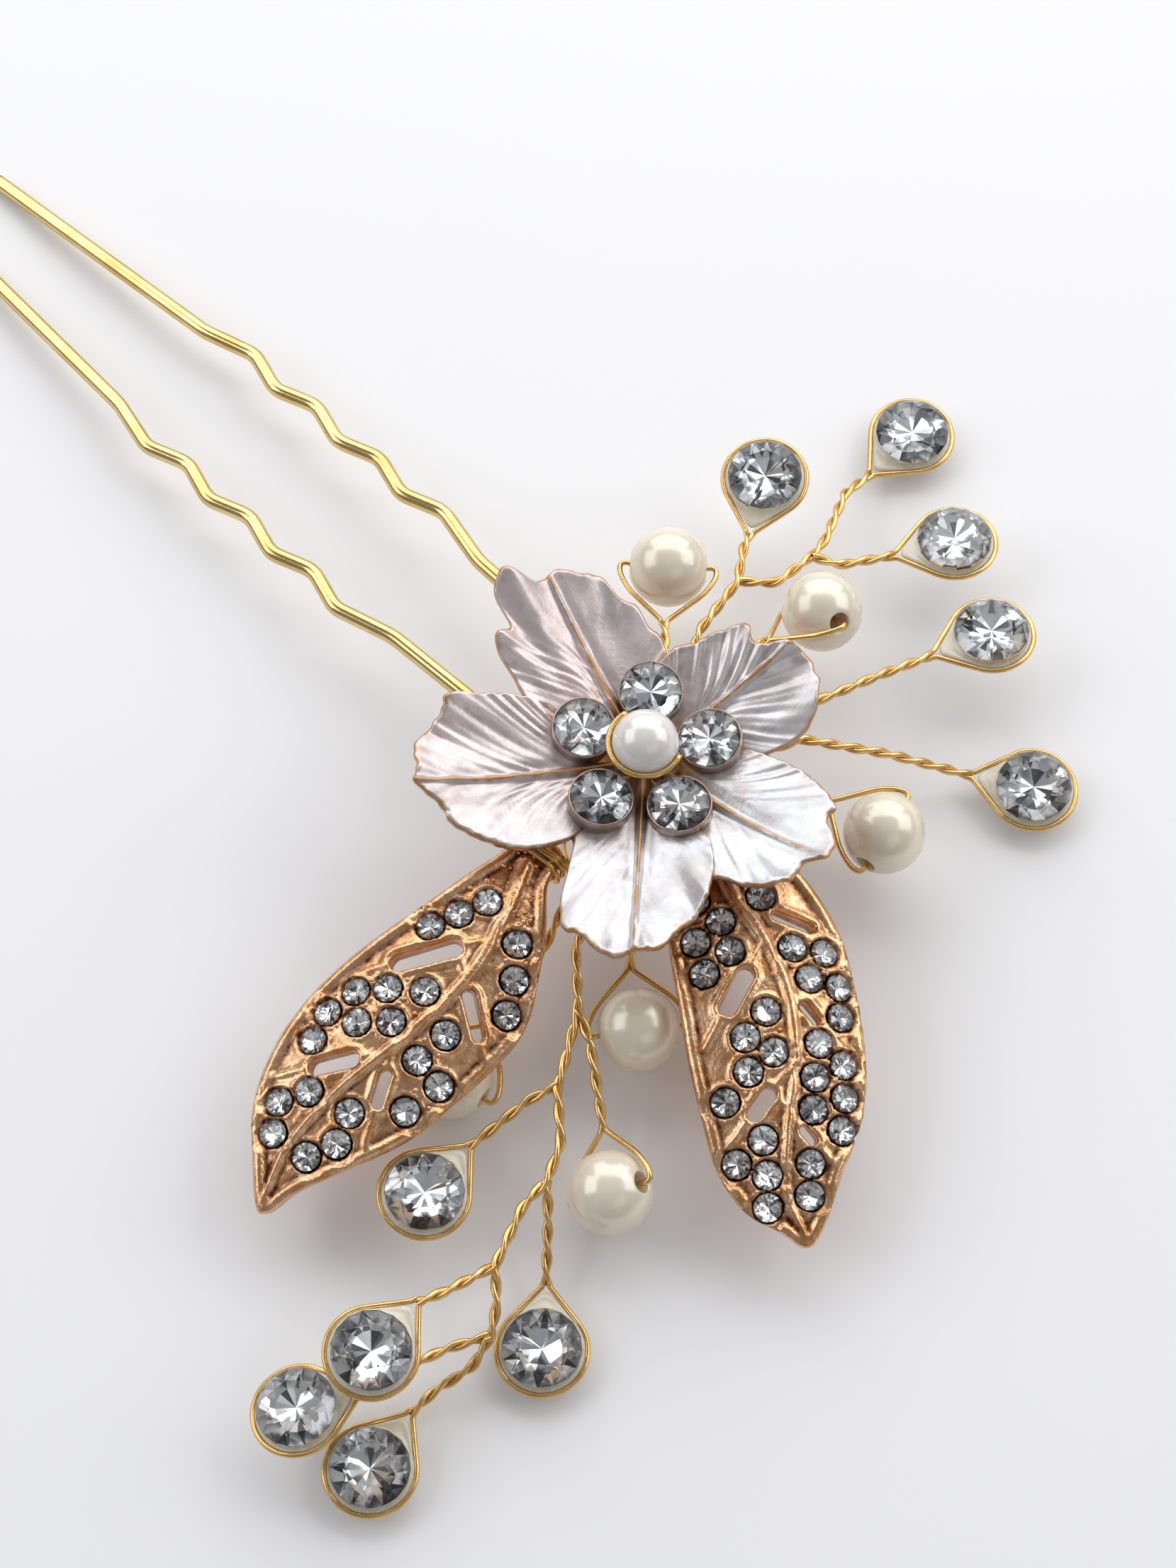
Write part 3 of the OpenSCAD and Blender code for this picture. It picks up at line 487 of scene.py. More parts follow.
def twisted_pair_tree():
    """Two wires twisted round each stem, and one wire along each loop."""
    tree, given = tree_with("twisted pair of wires", {"Wire diameter": "NodeSocketFloat",
                                                      "Turn length": "NodeSocketFloat",
                                                      "Finish": "NodeSocketMaterial"})
    line = add(tree, "GeometryNodeMeshToCurve", {"Mesh": given["Geometry"]}).outputs["Curve"]
    side = named(tree, "side", "FLOAT_VECTOR")
    along = add(tree, "GeometryNodeInputTangent").outputs["Tangent"]
    across = add(tree, "ShaderNodeVectorMath", {0: along, 1: side}, operation="CROSS_PRODUCT").outputs[0]
    angle = maths(tree, "MULTIPLY", maths(tree, "DIVIDE", named(tree, "left"), given["Turn length"]), 2
                  * math.pi)
    one = add(tree, "ShaderNodeVectorMath", {0: side, "Scale": maths(tree, "COSINE", angle)},
              operation="SCALE")
    two = add(tree, "ShaderNodeVectorMath", {0: across, "Scale": maths(tree, "SINE", angle)},
              operation="SCALE")
    both = add(tree, "ShaderNodeVectorMath", {0: one.outputs[0], 1: two.outputs[0]},
               operation="ADD").outputs[0]
    half = maths(tree, "MULTIPLY", given["Wire diameter"], 0.5)
    reach = maths(tree, "MULTIPLY", half, named(tree, "pair"))
    strands = []
    for sign in (1.0, -1.0):
        line_in = line
        if sign < 0:
            alone = add(tree, "FunctionNodeCompare", {0: named(tree, "pair"), 1: 0.01}, data_type="FLOAT",
                        operation="LESS_THAN").outputs[0]
            line_in = add(tree, "GeometryNodeDeleteGeometry", {"Geometry": line, "Selection": alone},
                          domain="POINT").outputs[0]
        away = add(tree, "ShaderNodeVectorMath", {0: both, "Scale": maths(tree, "MULTIPLY", reach, sign)},
                   operation="SCALE").outputs[0]
        strands.append(add(tree, "GeometryNodeSetPosition", {"Geometry": line_in, "Offset": away}).outputs[0])
    joined = add(tree, "GeometryNodeJoinGeometry")
    for each in strands:
        tree.links.new(each, joined.inputs[0])
    ring = add(tree, "GeometryNodeCurvePrimitiveCircle", {"Resolution": 10, "Radius": half}).outputs["Curve"]
    wire = add(tree, "GeometryNodeCurveToMesh", {"Curve": joined.outputs[0], "Profile Curve": ring,
                                                 "Fill Caps": True}).outputs[0]
    wire = add(tree, "GeometryNodeSetShadeSmooth", {"Geometry": wire}).outputs[0]
    wire = add(tree, "GeometryNodeRealizeInstances", {"Geometry": wire}).outputs[0]
    wire = add(tree, "GeometryNodeSetMaterial", {"Geometry": wire, "Material": given["Finish"]}).outputs[0]
    add(tree, "NodeGroupOutput", {"Geometry": wire})
    return tree


def grain_tree():
    """A small round grain of metal at each point, sized by the point's own mark."""
    tree, given = tree_with("grains of metal",
                            {"Grain radius": "NodeSocketFloat", "Finish": "NodeSocketMaterial"})
    ball = add(tree, "GeometryNodeMeshIcoSphere",
               {"Radius": given["Grain radius"], "Subdivisions": 2}).outputs[0]
    size = named(tree, "size")
    set_out = add(tree, "GeometryNodeInstanceOnPoints", {"Points": given["Geometry"], "Instance": ball,
                                                        "Scale": size}).outputs[0]
    real = add(tree, "GeometryNodeRealizeInstances", {"Geometry": set_out}).outputs[0]
    real = add(tree, "GeometryNodeSetShadeSmooth", {"Geometry": real}).outputs[0]
    real = add(tree, "GeometryNodeSetMaterial", {"Geometry": real, "Material": given["Finish"]}).outputs[0]
    add(tree, "NodeGroupOutput", {"Geometry": real})
    return tree


TWIST = twisted_pair_tree()
GRAIN = grain_tree()


# ---------- camera, light and table ----------
def camera():
    azimuth, elevation, lens_mm = -45.6, 66.0, 78.8
    eye = bpy.data.cameras.new("camera")
    eye.sensor_width = 36.0
    eye.lens = lens_mm
    eye.clip_start = 0.01
    made = bpy.data.objects.new("camera", eye)
    made.location = Vector((-69.1, -89.77, 233.0)) * MM
    made.rotation_euler = (math.radians(90 - elevation), 0, math.radians(azimuth))
    bpy.context.scene.collection.objects.link(made)
    bpy.context.scene.camera = made


def softbox(name, place, aim, size, watts, colour="#FFFFFF"):
    light = bpy.data.lights.new(name, "AREA")
    light.shape = "RECTANGLE"
    light.size, light.size_y = size
    light.energy = watts
    light.color = linear(colour)[:3]
    made = bpy.data.objects.new(name, light)
    made.location = place
    made.rotation_euler = (Vector(aim) - Vector(place)).to_track_quat("-Z", "Y").to_euler()
    bpy.context.scene.collection.objects.link(made)


def studio():
    world = bpy.data.worlds.new("studio")
    world.use_nodes = True
    world.node_tree.nodes["Background"].inputs[0].default_value = linear("#F2F3F6")
    world.node_tree.nodes["Background"].inputs[1].default_value = 0.3
    bpy.context.scene.world = world
    bpy.context.scene.view_settings.view_transform = "Standard"
    softbox("window", (0.3, 0.24, 0.3), (0.02, 0.01, 0), (0.8, 0.5), 2.3)
    softbox("right_box", (0.42, -0.26, 0.34), (0, 0, 0), (0.4, 0.4), 0.95, "#FFFDFA")
    softbox("left_box", (-0.3, 0.42, 0.4), (0, 0, 0), (0.5, 0.4), 1.15, "#FBFCFF")
    softbox("front_box", (-0.12, -0.5, 0.42), (0, 0, 0), (0.4, 0.3), 0.15)
    half_mm = 1500
    corners = [(x * half_mm, y * half_mm, 0) for x, y in ((-1, -1), (1, -1), (1, 1), (-1, 1))]
    floor = skin("table", corners, [(0, 1, 2, 3)], [pale_paper()], smooth=False)


camera()
studio()


# ---------- fork ----------
def fork():
    reach = WAVE_START + 3 * WAVE_PITCH + 4.5 + TAIL
    slope = math.degrees(math.asin((CROWN_Z - FORK_D / 2) / reach))
    place = ON_AXIS @ shift(0.4, 0.6, CROWN_Z) @ turn(-slope, "X")

    def leg(s):
        waves = [(s * (LEG_HALF + (WAVE_SWING if k % 2 == 0 else -WAVE_SWING)), WAVE_START + k * WAVE_PITCH
                  / 2, 0)
                 for k in range(6, -1, -1)]
        return ([(s * (LEG_HALF - 0.6 - TAIL_LEAN), reach, 0), (s * (LEG_HALF - 0.6), reach - TAIL, 0)]
                + waves
                + [(s * (LEG_HALF - 0.7), WAVE_START - 5, 0), (s * (CROWN_R + 0.1), -CROWN_R, 0)])

    radii = [0, LEG_BEND_R] + [WAVE_BEND_R] * 7 + [LEG_BEND_R, CROWN_R]
    path = rounded(leg(1) + leg(-1)[::-1], radii + radii[::-1], 4)
    piece("hair_fork_wire", FORK, "fork_wire", "hair_fork",
          tube(moved(place, even(path, 0.35)), FORK_D / 2, 24))
    # the winding round the bend of the fork
    turns, spread = 12, 80
    t = np.linspace(0, 1, 420)
    a = np.radians(270 - spread / 2 + spread * t)
    centre = np.stack([CROWN_R * np.cos(a), CROWN_R * np.sin(a), 0 * a], axis=1)
    out = np.stack([np.cos(a), np.sin(a), 0 * a], axis=1)
    spin = 2 * math.pi * turns * t
    coil = centre + (FORK_D / 2 + WIRE / 2 + GAP) * (out * np.cos(spin)[:, None]
                                                     + np.array([0, 0, 1.0]) * np.sin(spin)[:, None])
    piece("crown_winding", GOLD, "gold_wire", "crown_binding", tube(moved(place, coil), WIRE / 2, 10))


fork()


# ---------- flower ----------
# each petal: direction of its vein, lift of its roll, and its outline as (degrees from the vein, reach)
PETALS = [
    (72, 1.2, [(-42, 7.5), (-36, 9.4), (-30, 10.2), (-26, 11.5), (-20, 12.3), (-15, 14.0), (-9, 14.4),
               (-4, 15.2),
               (1, 14.9), (5, 15.1), (10, 16.5), (15, 15.8), (18, 13.4), (23, 13.6), (27, 12.9), (31, 11.0),
               (38, 9.0)]),
    (146, -1.0, [(-40, 8.0), (-34, 10.6), (-29, 12.4), (-25, 14.4), (-20, 14.7), (-15, 15.2), (-9, 16.3),
                 (-3, 16.2),
                 (2, 16.5), (8, 15.2), (14, 14.8), (20, 13.6), (28, 12.0), (34, 10.4), (40, 8.3)]),
    (221, 1.4, [(-40, 7.8), (-32, 8.4), (-26, 10.6), (-22, 13.0), (-17, 15.0), (-12, 15.2), (-7, 16.2),
                (-2, 16.4),
                (3, 15.9), (8, 15.9), (14, 14.5), (20, 13.6), (26, 12.2), (34, 10.0), (40, 8.0)]),
    (278, -0.8, [(-38, 8.6), (-31, 10.6), (-25, 11.4), (-20, 12.8), (-15, 14.0), (-8, 14.5), (-3, 14.4),
                 (2, 15.4),
                 (8, 15.1), (13, 13.9), (18, 14.1), (24, 12.8), (30, 11.2), (36, 9.4), (42, 7.6)]),
    (352, 1.6, [(-42, 7.2), (-36, 9.0), (-32, 11.0), (-26, 12.4), (-18, 13.4), (-10, 13.9), (-2, 13.5),
                (4, 12.0),
                (9, 11.5), (14, 12.3), (20, 11.0), (28, 9.4), (36, 8.6), (42, 7.4)])]


def dish(r):
    return BOWL_R - np.sqrt(BOWL_R * BOWL_R - r * r)


def petal(number):
    columns, rows, low_rows = 190, 56, 10
    vein, roll, outline = PETALS[number]
    edge = spline([(a, r, 0) for a, r in outline], 10)
    d = np.linspace(outline[0][0], outline[-1][0], columns)
    reach = np.interp(d, edge[:, 0], edge[:, 1])
    reach = reach + 0.1 * ripple(d * 0.5, 0, 60 + number) * np.clip((reach - 9) / 4, 0, 1)
    inner = 1.2

    def sheet(n, under):
        f = np.linspace(0, 1, n)[:, None]
        if not under:
            f = 1 - (1 - f) ** 1.15
        r = inner + (reach - inner) * f
        a = np.broadcast_to(d, r.shape) + 2.2 * f * np.sin(f * 3 + number)
        share = np.clip((r - 4) / 11, 0, 1)
        z = dish(r) + 0.1 + share * (roll * a / 40 + 0.45 * np.sin(a * 0.16 + number * 1.7) * share - 0.3)
        z = z + 0.75 * share ** 3 * ripple(a * 0.16, r * 0.1, 40 + number)
        z = z + 0.3 * share * ripple(a * 0.05, r * 0.25, 50 + number)
        deep = 0 * z
        if not under:
            # fine ribs leave the vein at a slant and fan out to the edge, some strong and some faint
            slant = np.abs(np.radians(a)) * 27 - 10 * np.log(r / 5)
            uneven = ripple(a * 0.07, r * 0.3, 7 + number)
            strong = np.clip((r - 5) / 4, 0, 1) * np.clip(0.55 + 0.75
                                                          * ripple(a * 0.045, r * 0.12, 19 + number), 0.1,
                                                          1.1)
            wave = np.abs(np.sin(slant + 1.1 * uneven)) ** 0.8
            deep = np.clip(strong, 0, 1) * np.clip(wave * 2 - 1.25, 0, 1)
            z = z + 0.105 * strong * (0.5 - wave)
            z = z + 0.035 * strong * np.sin(slant * 3.1 + 2.3 * uneven)
            across = np.abs(a) * np.pi / 180 * r
            wide = 0.4 - 0.2 * f
            z = z - 0.3 * np.exp(-((across - wide * 1.5) / 0.5) ** 2) * (1 - 0.6 * f)
            z = z + np.where(across < wide, 0.3 * (1 - (across / wide) ** 2) * (1 - 0.5 * f) + 0.1 * (1 - f),
                             0)
        # the upper edge is rounded over
        far = (reach - r)
        z = z - 0.22 * np.clip(1 - far / 0.35, 0, 1) ** 2 if not under else z - 0.62
        world = np.radians(a + vein)
        return np.stack([r * np.cos(world), r * np.sin(world), z], axis=2), r, a, f, deep

    top, r, a, f, deep = sheet(rows, False)
    low_sheet = sheet(low_rows, True)[0]
    side = np.minimum(a - a.min(axis=1, keepdims=True), a.max(axis=1, keepdims=True) - a) * np.pi / 180 * r
    rim = np.minimum(reach - r, side + 0.08)
    across = np.abs(a) * np.pi / 180 * r
    # the gold mark is gold rubbed through at the rim and along the vein, a little more near the middle;
    # painted shade: the gold mark also rises a little in the rib grooves, and the next mark paints darker
    # brown towards the middle, near the rim and in the rib grooves
    gold = np.clip(1.25 - rim / 0.26, 0, 1) * 0.95 + np.clip(1.2 - across / (0.3 - 0.16 * f), 0, 1) * 0.85
    gold = gold + 0.25 * np.clip((6.5 - r) / 3, 0, 1) + 0.22 * deep
    warm = np.clip((9.5 - r) / 6.5, 0, 1) * 0.75 + 0.25 * np.clip(1 - rim / 1.2, 0, 1) + 0.55 * deep
    rosy = np.clip(0.5 + 0.5 * np.cos(np.radians(a + vein - 85)), 0, 1)
    n = rows * columns
    points = np.concatenate([top.reshape(-1, 3), low_sheet.reshape(-1, 3)])
    faces = grid_faces(rows, columns)
    faces += [tuple(n + i for i in q) for q in grid_faces(low_rows, columns, flip=True)]
    last, low_last = (rows - 1) * columns, n + (low_rows - 1) * columns
    for j in range(columns - 1):
        faces.append((last + j, last + j + 1, low_last + j + 1, low_last + j))
        faces.append((j + 1, j, n + j, n + j + 1))
    # the two side walls
    for j, flip in ((0, False), (columns - 1, True)):
        upper = [i * columns + j for i in range(rows)]
        lower = [n + i * columns + j for i in range(low_rows)]
        u = l = 0
        while u < rows - 1 or l < low_rows - 1:
            if l >= low_rows - 1 or (u < rows - 1 and u / (rows - 1) <= l / (low_rows - 1)):
                face = (upper[u], upper[u + 1], lower[l])
                u += 1
            else:
                face = (upper[u], lower[l + 1], lower[l])
                l += 1
            faces.append(face[::-1] if flip else face)
    m = len(points) - n
    return points, faces, {"gold": np.concatenate([gold.ravel(), np.full(m, 0.6)]),
                           "warm": np.concatenate([warm.ravel(), np.full(m, 0.8)]),
                           "rosy": np.concatenate([rosy.ravel(), np.full(m, 0.5)])}


CUP_TURN = 39
RING_R = 4.7
CUP_H = 1.2
CENTRE_STONE_D = 4.4


def cup_place(k):
    return (ON_FLOWER @ turn(CUP_TURN + 72 * k, "Z") @ shift(RING_R, 0, float(dish(RING_R)) + CUP_H)
            @ turn(-math.degrees(math.asin(RING_R / BOWL_R)), "Y"))


def flower():
    made = Build()
    for number in range(5):
        points, faces, marks = petal(number)
        made.put(moved(ON_FLOWER, points), faces, **marks)
    # painted shade: the plate and the stone cups carry the darker brown mark nearly in full
    plate = [(0.6, -0.55), (7.2, -0.55), (7.4, -0.4), (7.3, -0.1), (6.8, 0.1), (0.6, 0.0)]
    points, faces = lathe(plate, 64)
    made.put(moved(ON_FLOWER, points), faces, gold=0.7, warm=1.0, rosy=0.5)
    r = CENTRE_STONE_D / 2
    wall = [(r - 0.5, -1.15), (r + 0.15, -1.15), (r + 0.15, -0.25), (r + 0.12, -0.06), (r + 0.05, -0.02),
            (r - 0.01, -0.06), (r + 0.03, -0.12), (r + 0.03, -0.7), (r - 0.5, -0.7)]
    points, faces = lathe(wall, 48)
    for k in range(5):
        made.put(moved(cup_place(k), points), faces, gold=0.35, warm=0.9, rosy=0.5)
    belongs(made.mesh("flower_petals", [ENAMEL]), "enamelled_casting", "flower_casting")


flower()


# ---------- cut stones ----------
def brilliant(d, crown, girdle, depth, table=0.56, seed=0):
    """A cut stone, its girdle's top at z = 0: a glass crown over a foiled star, and a pointed foiled back.

    Gives points, faces and a finish number for each face.
    """
    rng = np.random.RandomState(seed)
    r = d / 2
    rt = r * table
    rs = (rt + r) * 0.5 * 1.04
    sides = 8
    step = 360 / sides
    points, faces, picks = [], [], []

    def ring(radius, height, offset, count, jitter=0.0):
        start = len(points)
        for k in range(count):
            a = math.radians(offset + 360 * k / count)
            points.append((radius * math.cos(a), radius * math.sin(a), height
                           * (1 + jitter * rng.uniform(-1, 1))))
        return [start + k for k in range(count)]

    both = 2 * sides
    half = math.radians(step / 2)
    hs = crown * (r - rs * math.cos(half)) / (r - rt)
    star_depth = depth * 0.4
    top = ring(rt, crown, 0, sides)
    star = ring(rs, hs, step / 2, sides)
    belt = ring(r, 0, 0, both)
    belt_low = ring(r, -girdle, 0, both)
    middle = ring(r * 0.5, -girdle - star_depth * 0.55, step / 4, both, 0.28)
    points.append((0, 0, -girdle - star_depth))
    centre_low = len(points) - 1
    faces.append(tuple(top))
    for k in range(sides):
        n, p = (k + 1) % sides, (k - 1) % sides
        g, gm, gn = belt[2 * k], belt[2 * k + 1], belt[(2 * k + 2) % both]
        faces += [(top[k], star[k], top[n]), (top[k], star[p], g, star[k]), (star[k], g, gm),
                  (star[k], gm, gn)]
    clear = len(faces)
    for k in range(both):
        n = (k + 1) % both
        faces += [(belt[k], belt_low[k], belt_low[n], belt[n]), (middle[k], belt_low[n], belt_low[k]),
                  (middle[k], middle[n], belt_low[n]), (centre_low, middle[n], middle[k])]
    # the pointed back, a second closed skin just under the star
    skirt = ring(r * 0.99, -girdle - 0.03, 0, both)
    points += [(0, 0, -girdle - star_depth - 0.25), (0, 0, -girdle - depth)]
    upper, culet = len(points) - 2, len(points) - 1
    for k in range(both):
        n = (k + 1) % both
        faces += [(upper, skirt[k], skirt[n]), (culet, skirt[n], skirt[k])]
    picks = [0] * clear + [1] * (len(faces) - clear)
    return np.array(points), faces, picks


def stone(name, places, size, slot_name, *stands_for):
    """Cut stones at places; some facets of the foiled star, picked at random, are painted dark: a painted
    reflection.
    """
    made, shades = Build(), []
    for number, place in enumerate(places):
        seed = sum(map(ord, name)) + number
        points, faces, picks = brilliant(*size, seed=seed)
        made.put(moved(place, points), faces, picks)
        each = np.zeros(len(faces))
        back = sum(picks)
        # painted reflection: about a fifth of the foil facets, picked at random, are marked to be painted
        # dark
        each[-back:] = np.where(np.random.RandomState(seed).uniform(0, 1, back) < 0.22, 0.9, 0.0)
        shades.append(each)
    made = made.mesh(name, [GLASS, FOIL], smooth=False)
    made.data.attributes.new("shade", "FLOAT", "FACE").data.foreach_set("value",
                                                                        np.concatenate(shades).astype("f"))
    return belongs(made, slot_name, *stands_for)


def centre():
    shape = (CENTRE_STONE_D, 0.75, 0.3, 1.1)
    for k in range(5):
        stone(f"centre_stone_{k + 1}_cut", [cup_place(k) @ turn(17 * k, "Z")], shape, "foiled_stone",
              f"centre_stone_{k + 1}")
    # the middle pearl
    z = PLATE_TOP + CENTRE_PEARL_R + GAP
    a = np.radians(np.linspace(-90, 90, 33)[1:-1])
    profile = [(CENTRE_PEARL_R * math.cos(t), CENTRE_PEARL_R * math.sin(t)) for t in a]
    points, faces = lathe(profile, 64, closed=False)
    n = len(points)
    faces.append(tuple(range(63, -1, -1)))
    faces.append(tuple(n - 64 + i for i in range(64)))
    piece("centre_pearl_bead", WHITE, "white_pearl", "centre_pearl", (points, faces), ON_FLOWER
          @ shift(0, 0, z))
    r = CENTRE_PEARL_R + WIRE / 2 + GAP
    a = np.radians(np.linspace(75, 291, 60))
    ring = np.stack([r * np.cos(a), r * np.sin(a), z + 0.15 + 0 * a], axis=1)
    path = np.concatenate([[ring[0] - (0, 0, z + 1.2)], [ring[0] - (0, 0, 0.35)], ring[2:-2],
                           [ring[-1] - (0, 0, 0.35)], [ring[-1] - (0, 0, z + 1.2)]])
    piece("centre_pearl_wire", GOLD, "gold_wire", "centre_wire",
          tube(moved(ON_FLOWER, even(spline(path, 4), 0.2)), WIRE / 2, 12))


centre()


# ---------- leaves ----------
LEAF_CREST, LEAF_ARCH, LEAF_SWEEP, LEAF_T = 13.0, 13.0, 70.0, 1.2
LEAF_Z, LEAF_TILT = 8.7, 4
PAVE_SHAPE = (2.0, 0.35, 0.2, 0.8, 0.5)


def leaf_place(x, y, azimuth):
    return (ON_AXIS @ shift(x, y, LEAF_Z) @ turn(azimuth, "Z") @ shift(LEAF_CREST, 0, 0)
            @ turn(LEAF_TILT, "Y")
            @ shift(-LEAF_CREST, 0, 0))


# outline and midrib as (along, across), stones, and slots as (along, across, angle, half length, radius)
LEAVES = {
    "left": {
        "place": leaf_place(-10.3, 1, 188),
        "outline": [(-1.2, -1.5), (1.5, -1.9), (4, -2.7), (8, -3.9), (12, -5.3), (16, -6.3), (20, -6.6),
                    (23.5, -6.0), (26.5, -4.7), (29, -2.7), (31.5, -0.5), (31.4, 0.4), (29.3, 1.2), (26, 3.2),
                    (22, 5.3), (18, 6.3), (14, 7.0), (10.5, 7.0), (7, 5.6), (4, 4.0), (1.5, 2.3),
                    (-1.2, 1.6)],
        "rib": [(1, 0), (5, 1.2), (10, 2.0), (16, 1.1), (22, -0.5), (27, -1.1), (31, -0.3)],
        "stones": [(5, -0.3), (6.9, -1.4), (8.8, -2.5), (12.9, 0.2), (14.2, -2.1), (15.6, -3.9), (17.9, -4.7),
                   (17.4, -2.4), (16, -0.4), (20.1, -4.3), (23.2, -2.2), (24.9, -3.6), (26.9, -2.6),
                   (6.2, 3.2),
                   (8.4, 4.6), (10.7, 5.6), (14.5, 3.2), (17.1, 2.7), (17.6, 4.9), (20.4, 4.1), (22.8, 1.1),
                   (25, 1.6), (26.9, 0.4)],
        "slots": [(10.7, -1.4, -40, 1.9, 0.8), (20.6, -2.0, -45, 1.2, 0.7), (12.2, 3.9, 50, 1.4, 0.5),
                  (20.2, 1.9, 20, 1.0, 0.45)]},
    "right": {
        "place": leaf_place(0.7, -6.0, 236),
        "outline": [(-1.2, -1.5), (1.5, -2.2), (4, -3.9), (8, -4.9), (13, -5.2), (18, -5.4), (22, -5.3),
                    (25.5, -5.0), (28.5, -3.7), (30.3, -1.7), (31.5, -0.5), (31.4, 0.5), (29.6, 1.9),
                    (27, 3.4),
                    (24.5, 5.1), (21.5, 6.3), (17.5, 7.0), (13.5, 7.2), (9.5, 6.8), (5.5, 5.2), (1.5, 2.4),
                    (-1.2, 1.6)],
        "rib": [(1, -0.6), (6, 0), (10, 1.5), (14, 2.3), (19, 1.8), (24, 0.1), (28, -0.7), (31, 0)],
        "stones": [(6.3, -2.6), (8.2, -1.2), (9.3, -3.2), (10.5, -1.0), (11.7, -3.1), (15.3, 0.5),
                   (16.8, -1.3),
                   (18.2, 0.4), (19.2, -1.6), (20.9, -3.6), (24.0, -1.6), (25.2, -3.7), (26.4, -1.8),
                   (28.5, -2.2), (6.9, 2.0), (11.0, 3.4), (13.4, 4.1), (11.6, 5.6), (14.2, 6.1), (16.4, 5.7),
                   (18.1, 3.7), (19.8, 5.1), (20.4, 2.9), (22.1, 4.7), (22.6, 2.3), (24.3, 4.0), (26.2, 1.3),
                   (28.3, 0.8)],
        "slots": [(13.4, -1.2, -40, 1.3, 0.72), (21.6, -1.2, -50, 0.8, 0.6), (9.05, 3.9, 60, 1.2, 0.5),
                  (15.9, 3.6, 30, 0.6, 0.45), (24.3, 1.6, 30, 0.4, 0.42)]}}


def on_crest(uv, lift):
    """Points of the arched leaf from (along, across) and a lift off its crest surface."""
    uv = np.asarray(uv, float)
    b = np.arcsin(uv[:, 1] / LEAF_ARCH)
    a = np.arcsin((uv[:, 0] - LEAF_CREST) / (LEAF_SWEEP - LEAF_ARCH + LEAF_ARCH * np.cos(b)))
    m = LEAF_SWEEP - LEAF_ARCH + (LEAF_ARCH + lift) * np.cos(b)
    return np.stack([LEAF_CREST + m * np.sin(a), (LEAF_ARCH + lift) * np.sin(b), m * np.cos(a) - LEAF_SWEEP],
                    axis=1)


def seat(u, v):
    """Place and slope of a stone on the leaf's crest surface."""
    b = math.asin(v / LEAF_ARCH)
    a = math.asin((u - LEAF_CREST) / (LEAF_SWEEP - LEAF_ARCH + LEAF_ARCH * math.cos(b)))
    return (shift(LEAF_CREST, 0, -LEAF_SWEEP) @ turn(math.degrees(a), "Y")
            @ shift(0, 0, LEAF_SWEEP - LEAF_ARCH)
            @ turn(-math.degrees(b), "X") @ shift(0, 0, LEAF_ARCH))


def away(points, line, closed=False):
    """Distance of each point from a line of points."""
    p = np.asarray(points)[:, None, :]
    a = np.asarray(line, float)
    b = np.roll(a, -1, axis=0) if closed else a[1:]
    a = a if closed else a[:-1]
    ab = (b - a)[None]
    t = np.clip(((p - a[None]) * ab).sum(2) / np.maximum((ab ** 2).sum(2), 1e-12), 0, 1)
    return np.linalg.norm(p - (a[None] + t[..., None] * ab), axis=2).min(axis=1)


def within(points, outline):
    p = np.asarray(points)
    a = np.asarray(outline, float)
    b = np.roll(a, -1, axis=0)
    x, y = p[:, 0:1], p[:, 1:2]
    hit = ((a[:, 1] > y) != (b[:, 1] > y)) & (x < (b[:, 0] - a[:, 0]) * (y - a[:, 1])
                                              / (b[:, 1] - a[:, 1] + 1e-15)
                                             + a[:, 0])
    return hit.sum(axis=1) % 2 == 1


def slot_ring(u, v, angle, half, r):
    a = np.radians(np.arange(0, 360, 12) + 6)
    x = np.where(np.cos(a) > 0, half, -half) + r * np.cos(a)
    y = r * np.sin(a)
    c, s = math.cos(math.radians(angle)), math.sin(math.radians(angle))
    return np.stack([u + x * c - y * s, v + x * s + y * c], axis=1)


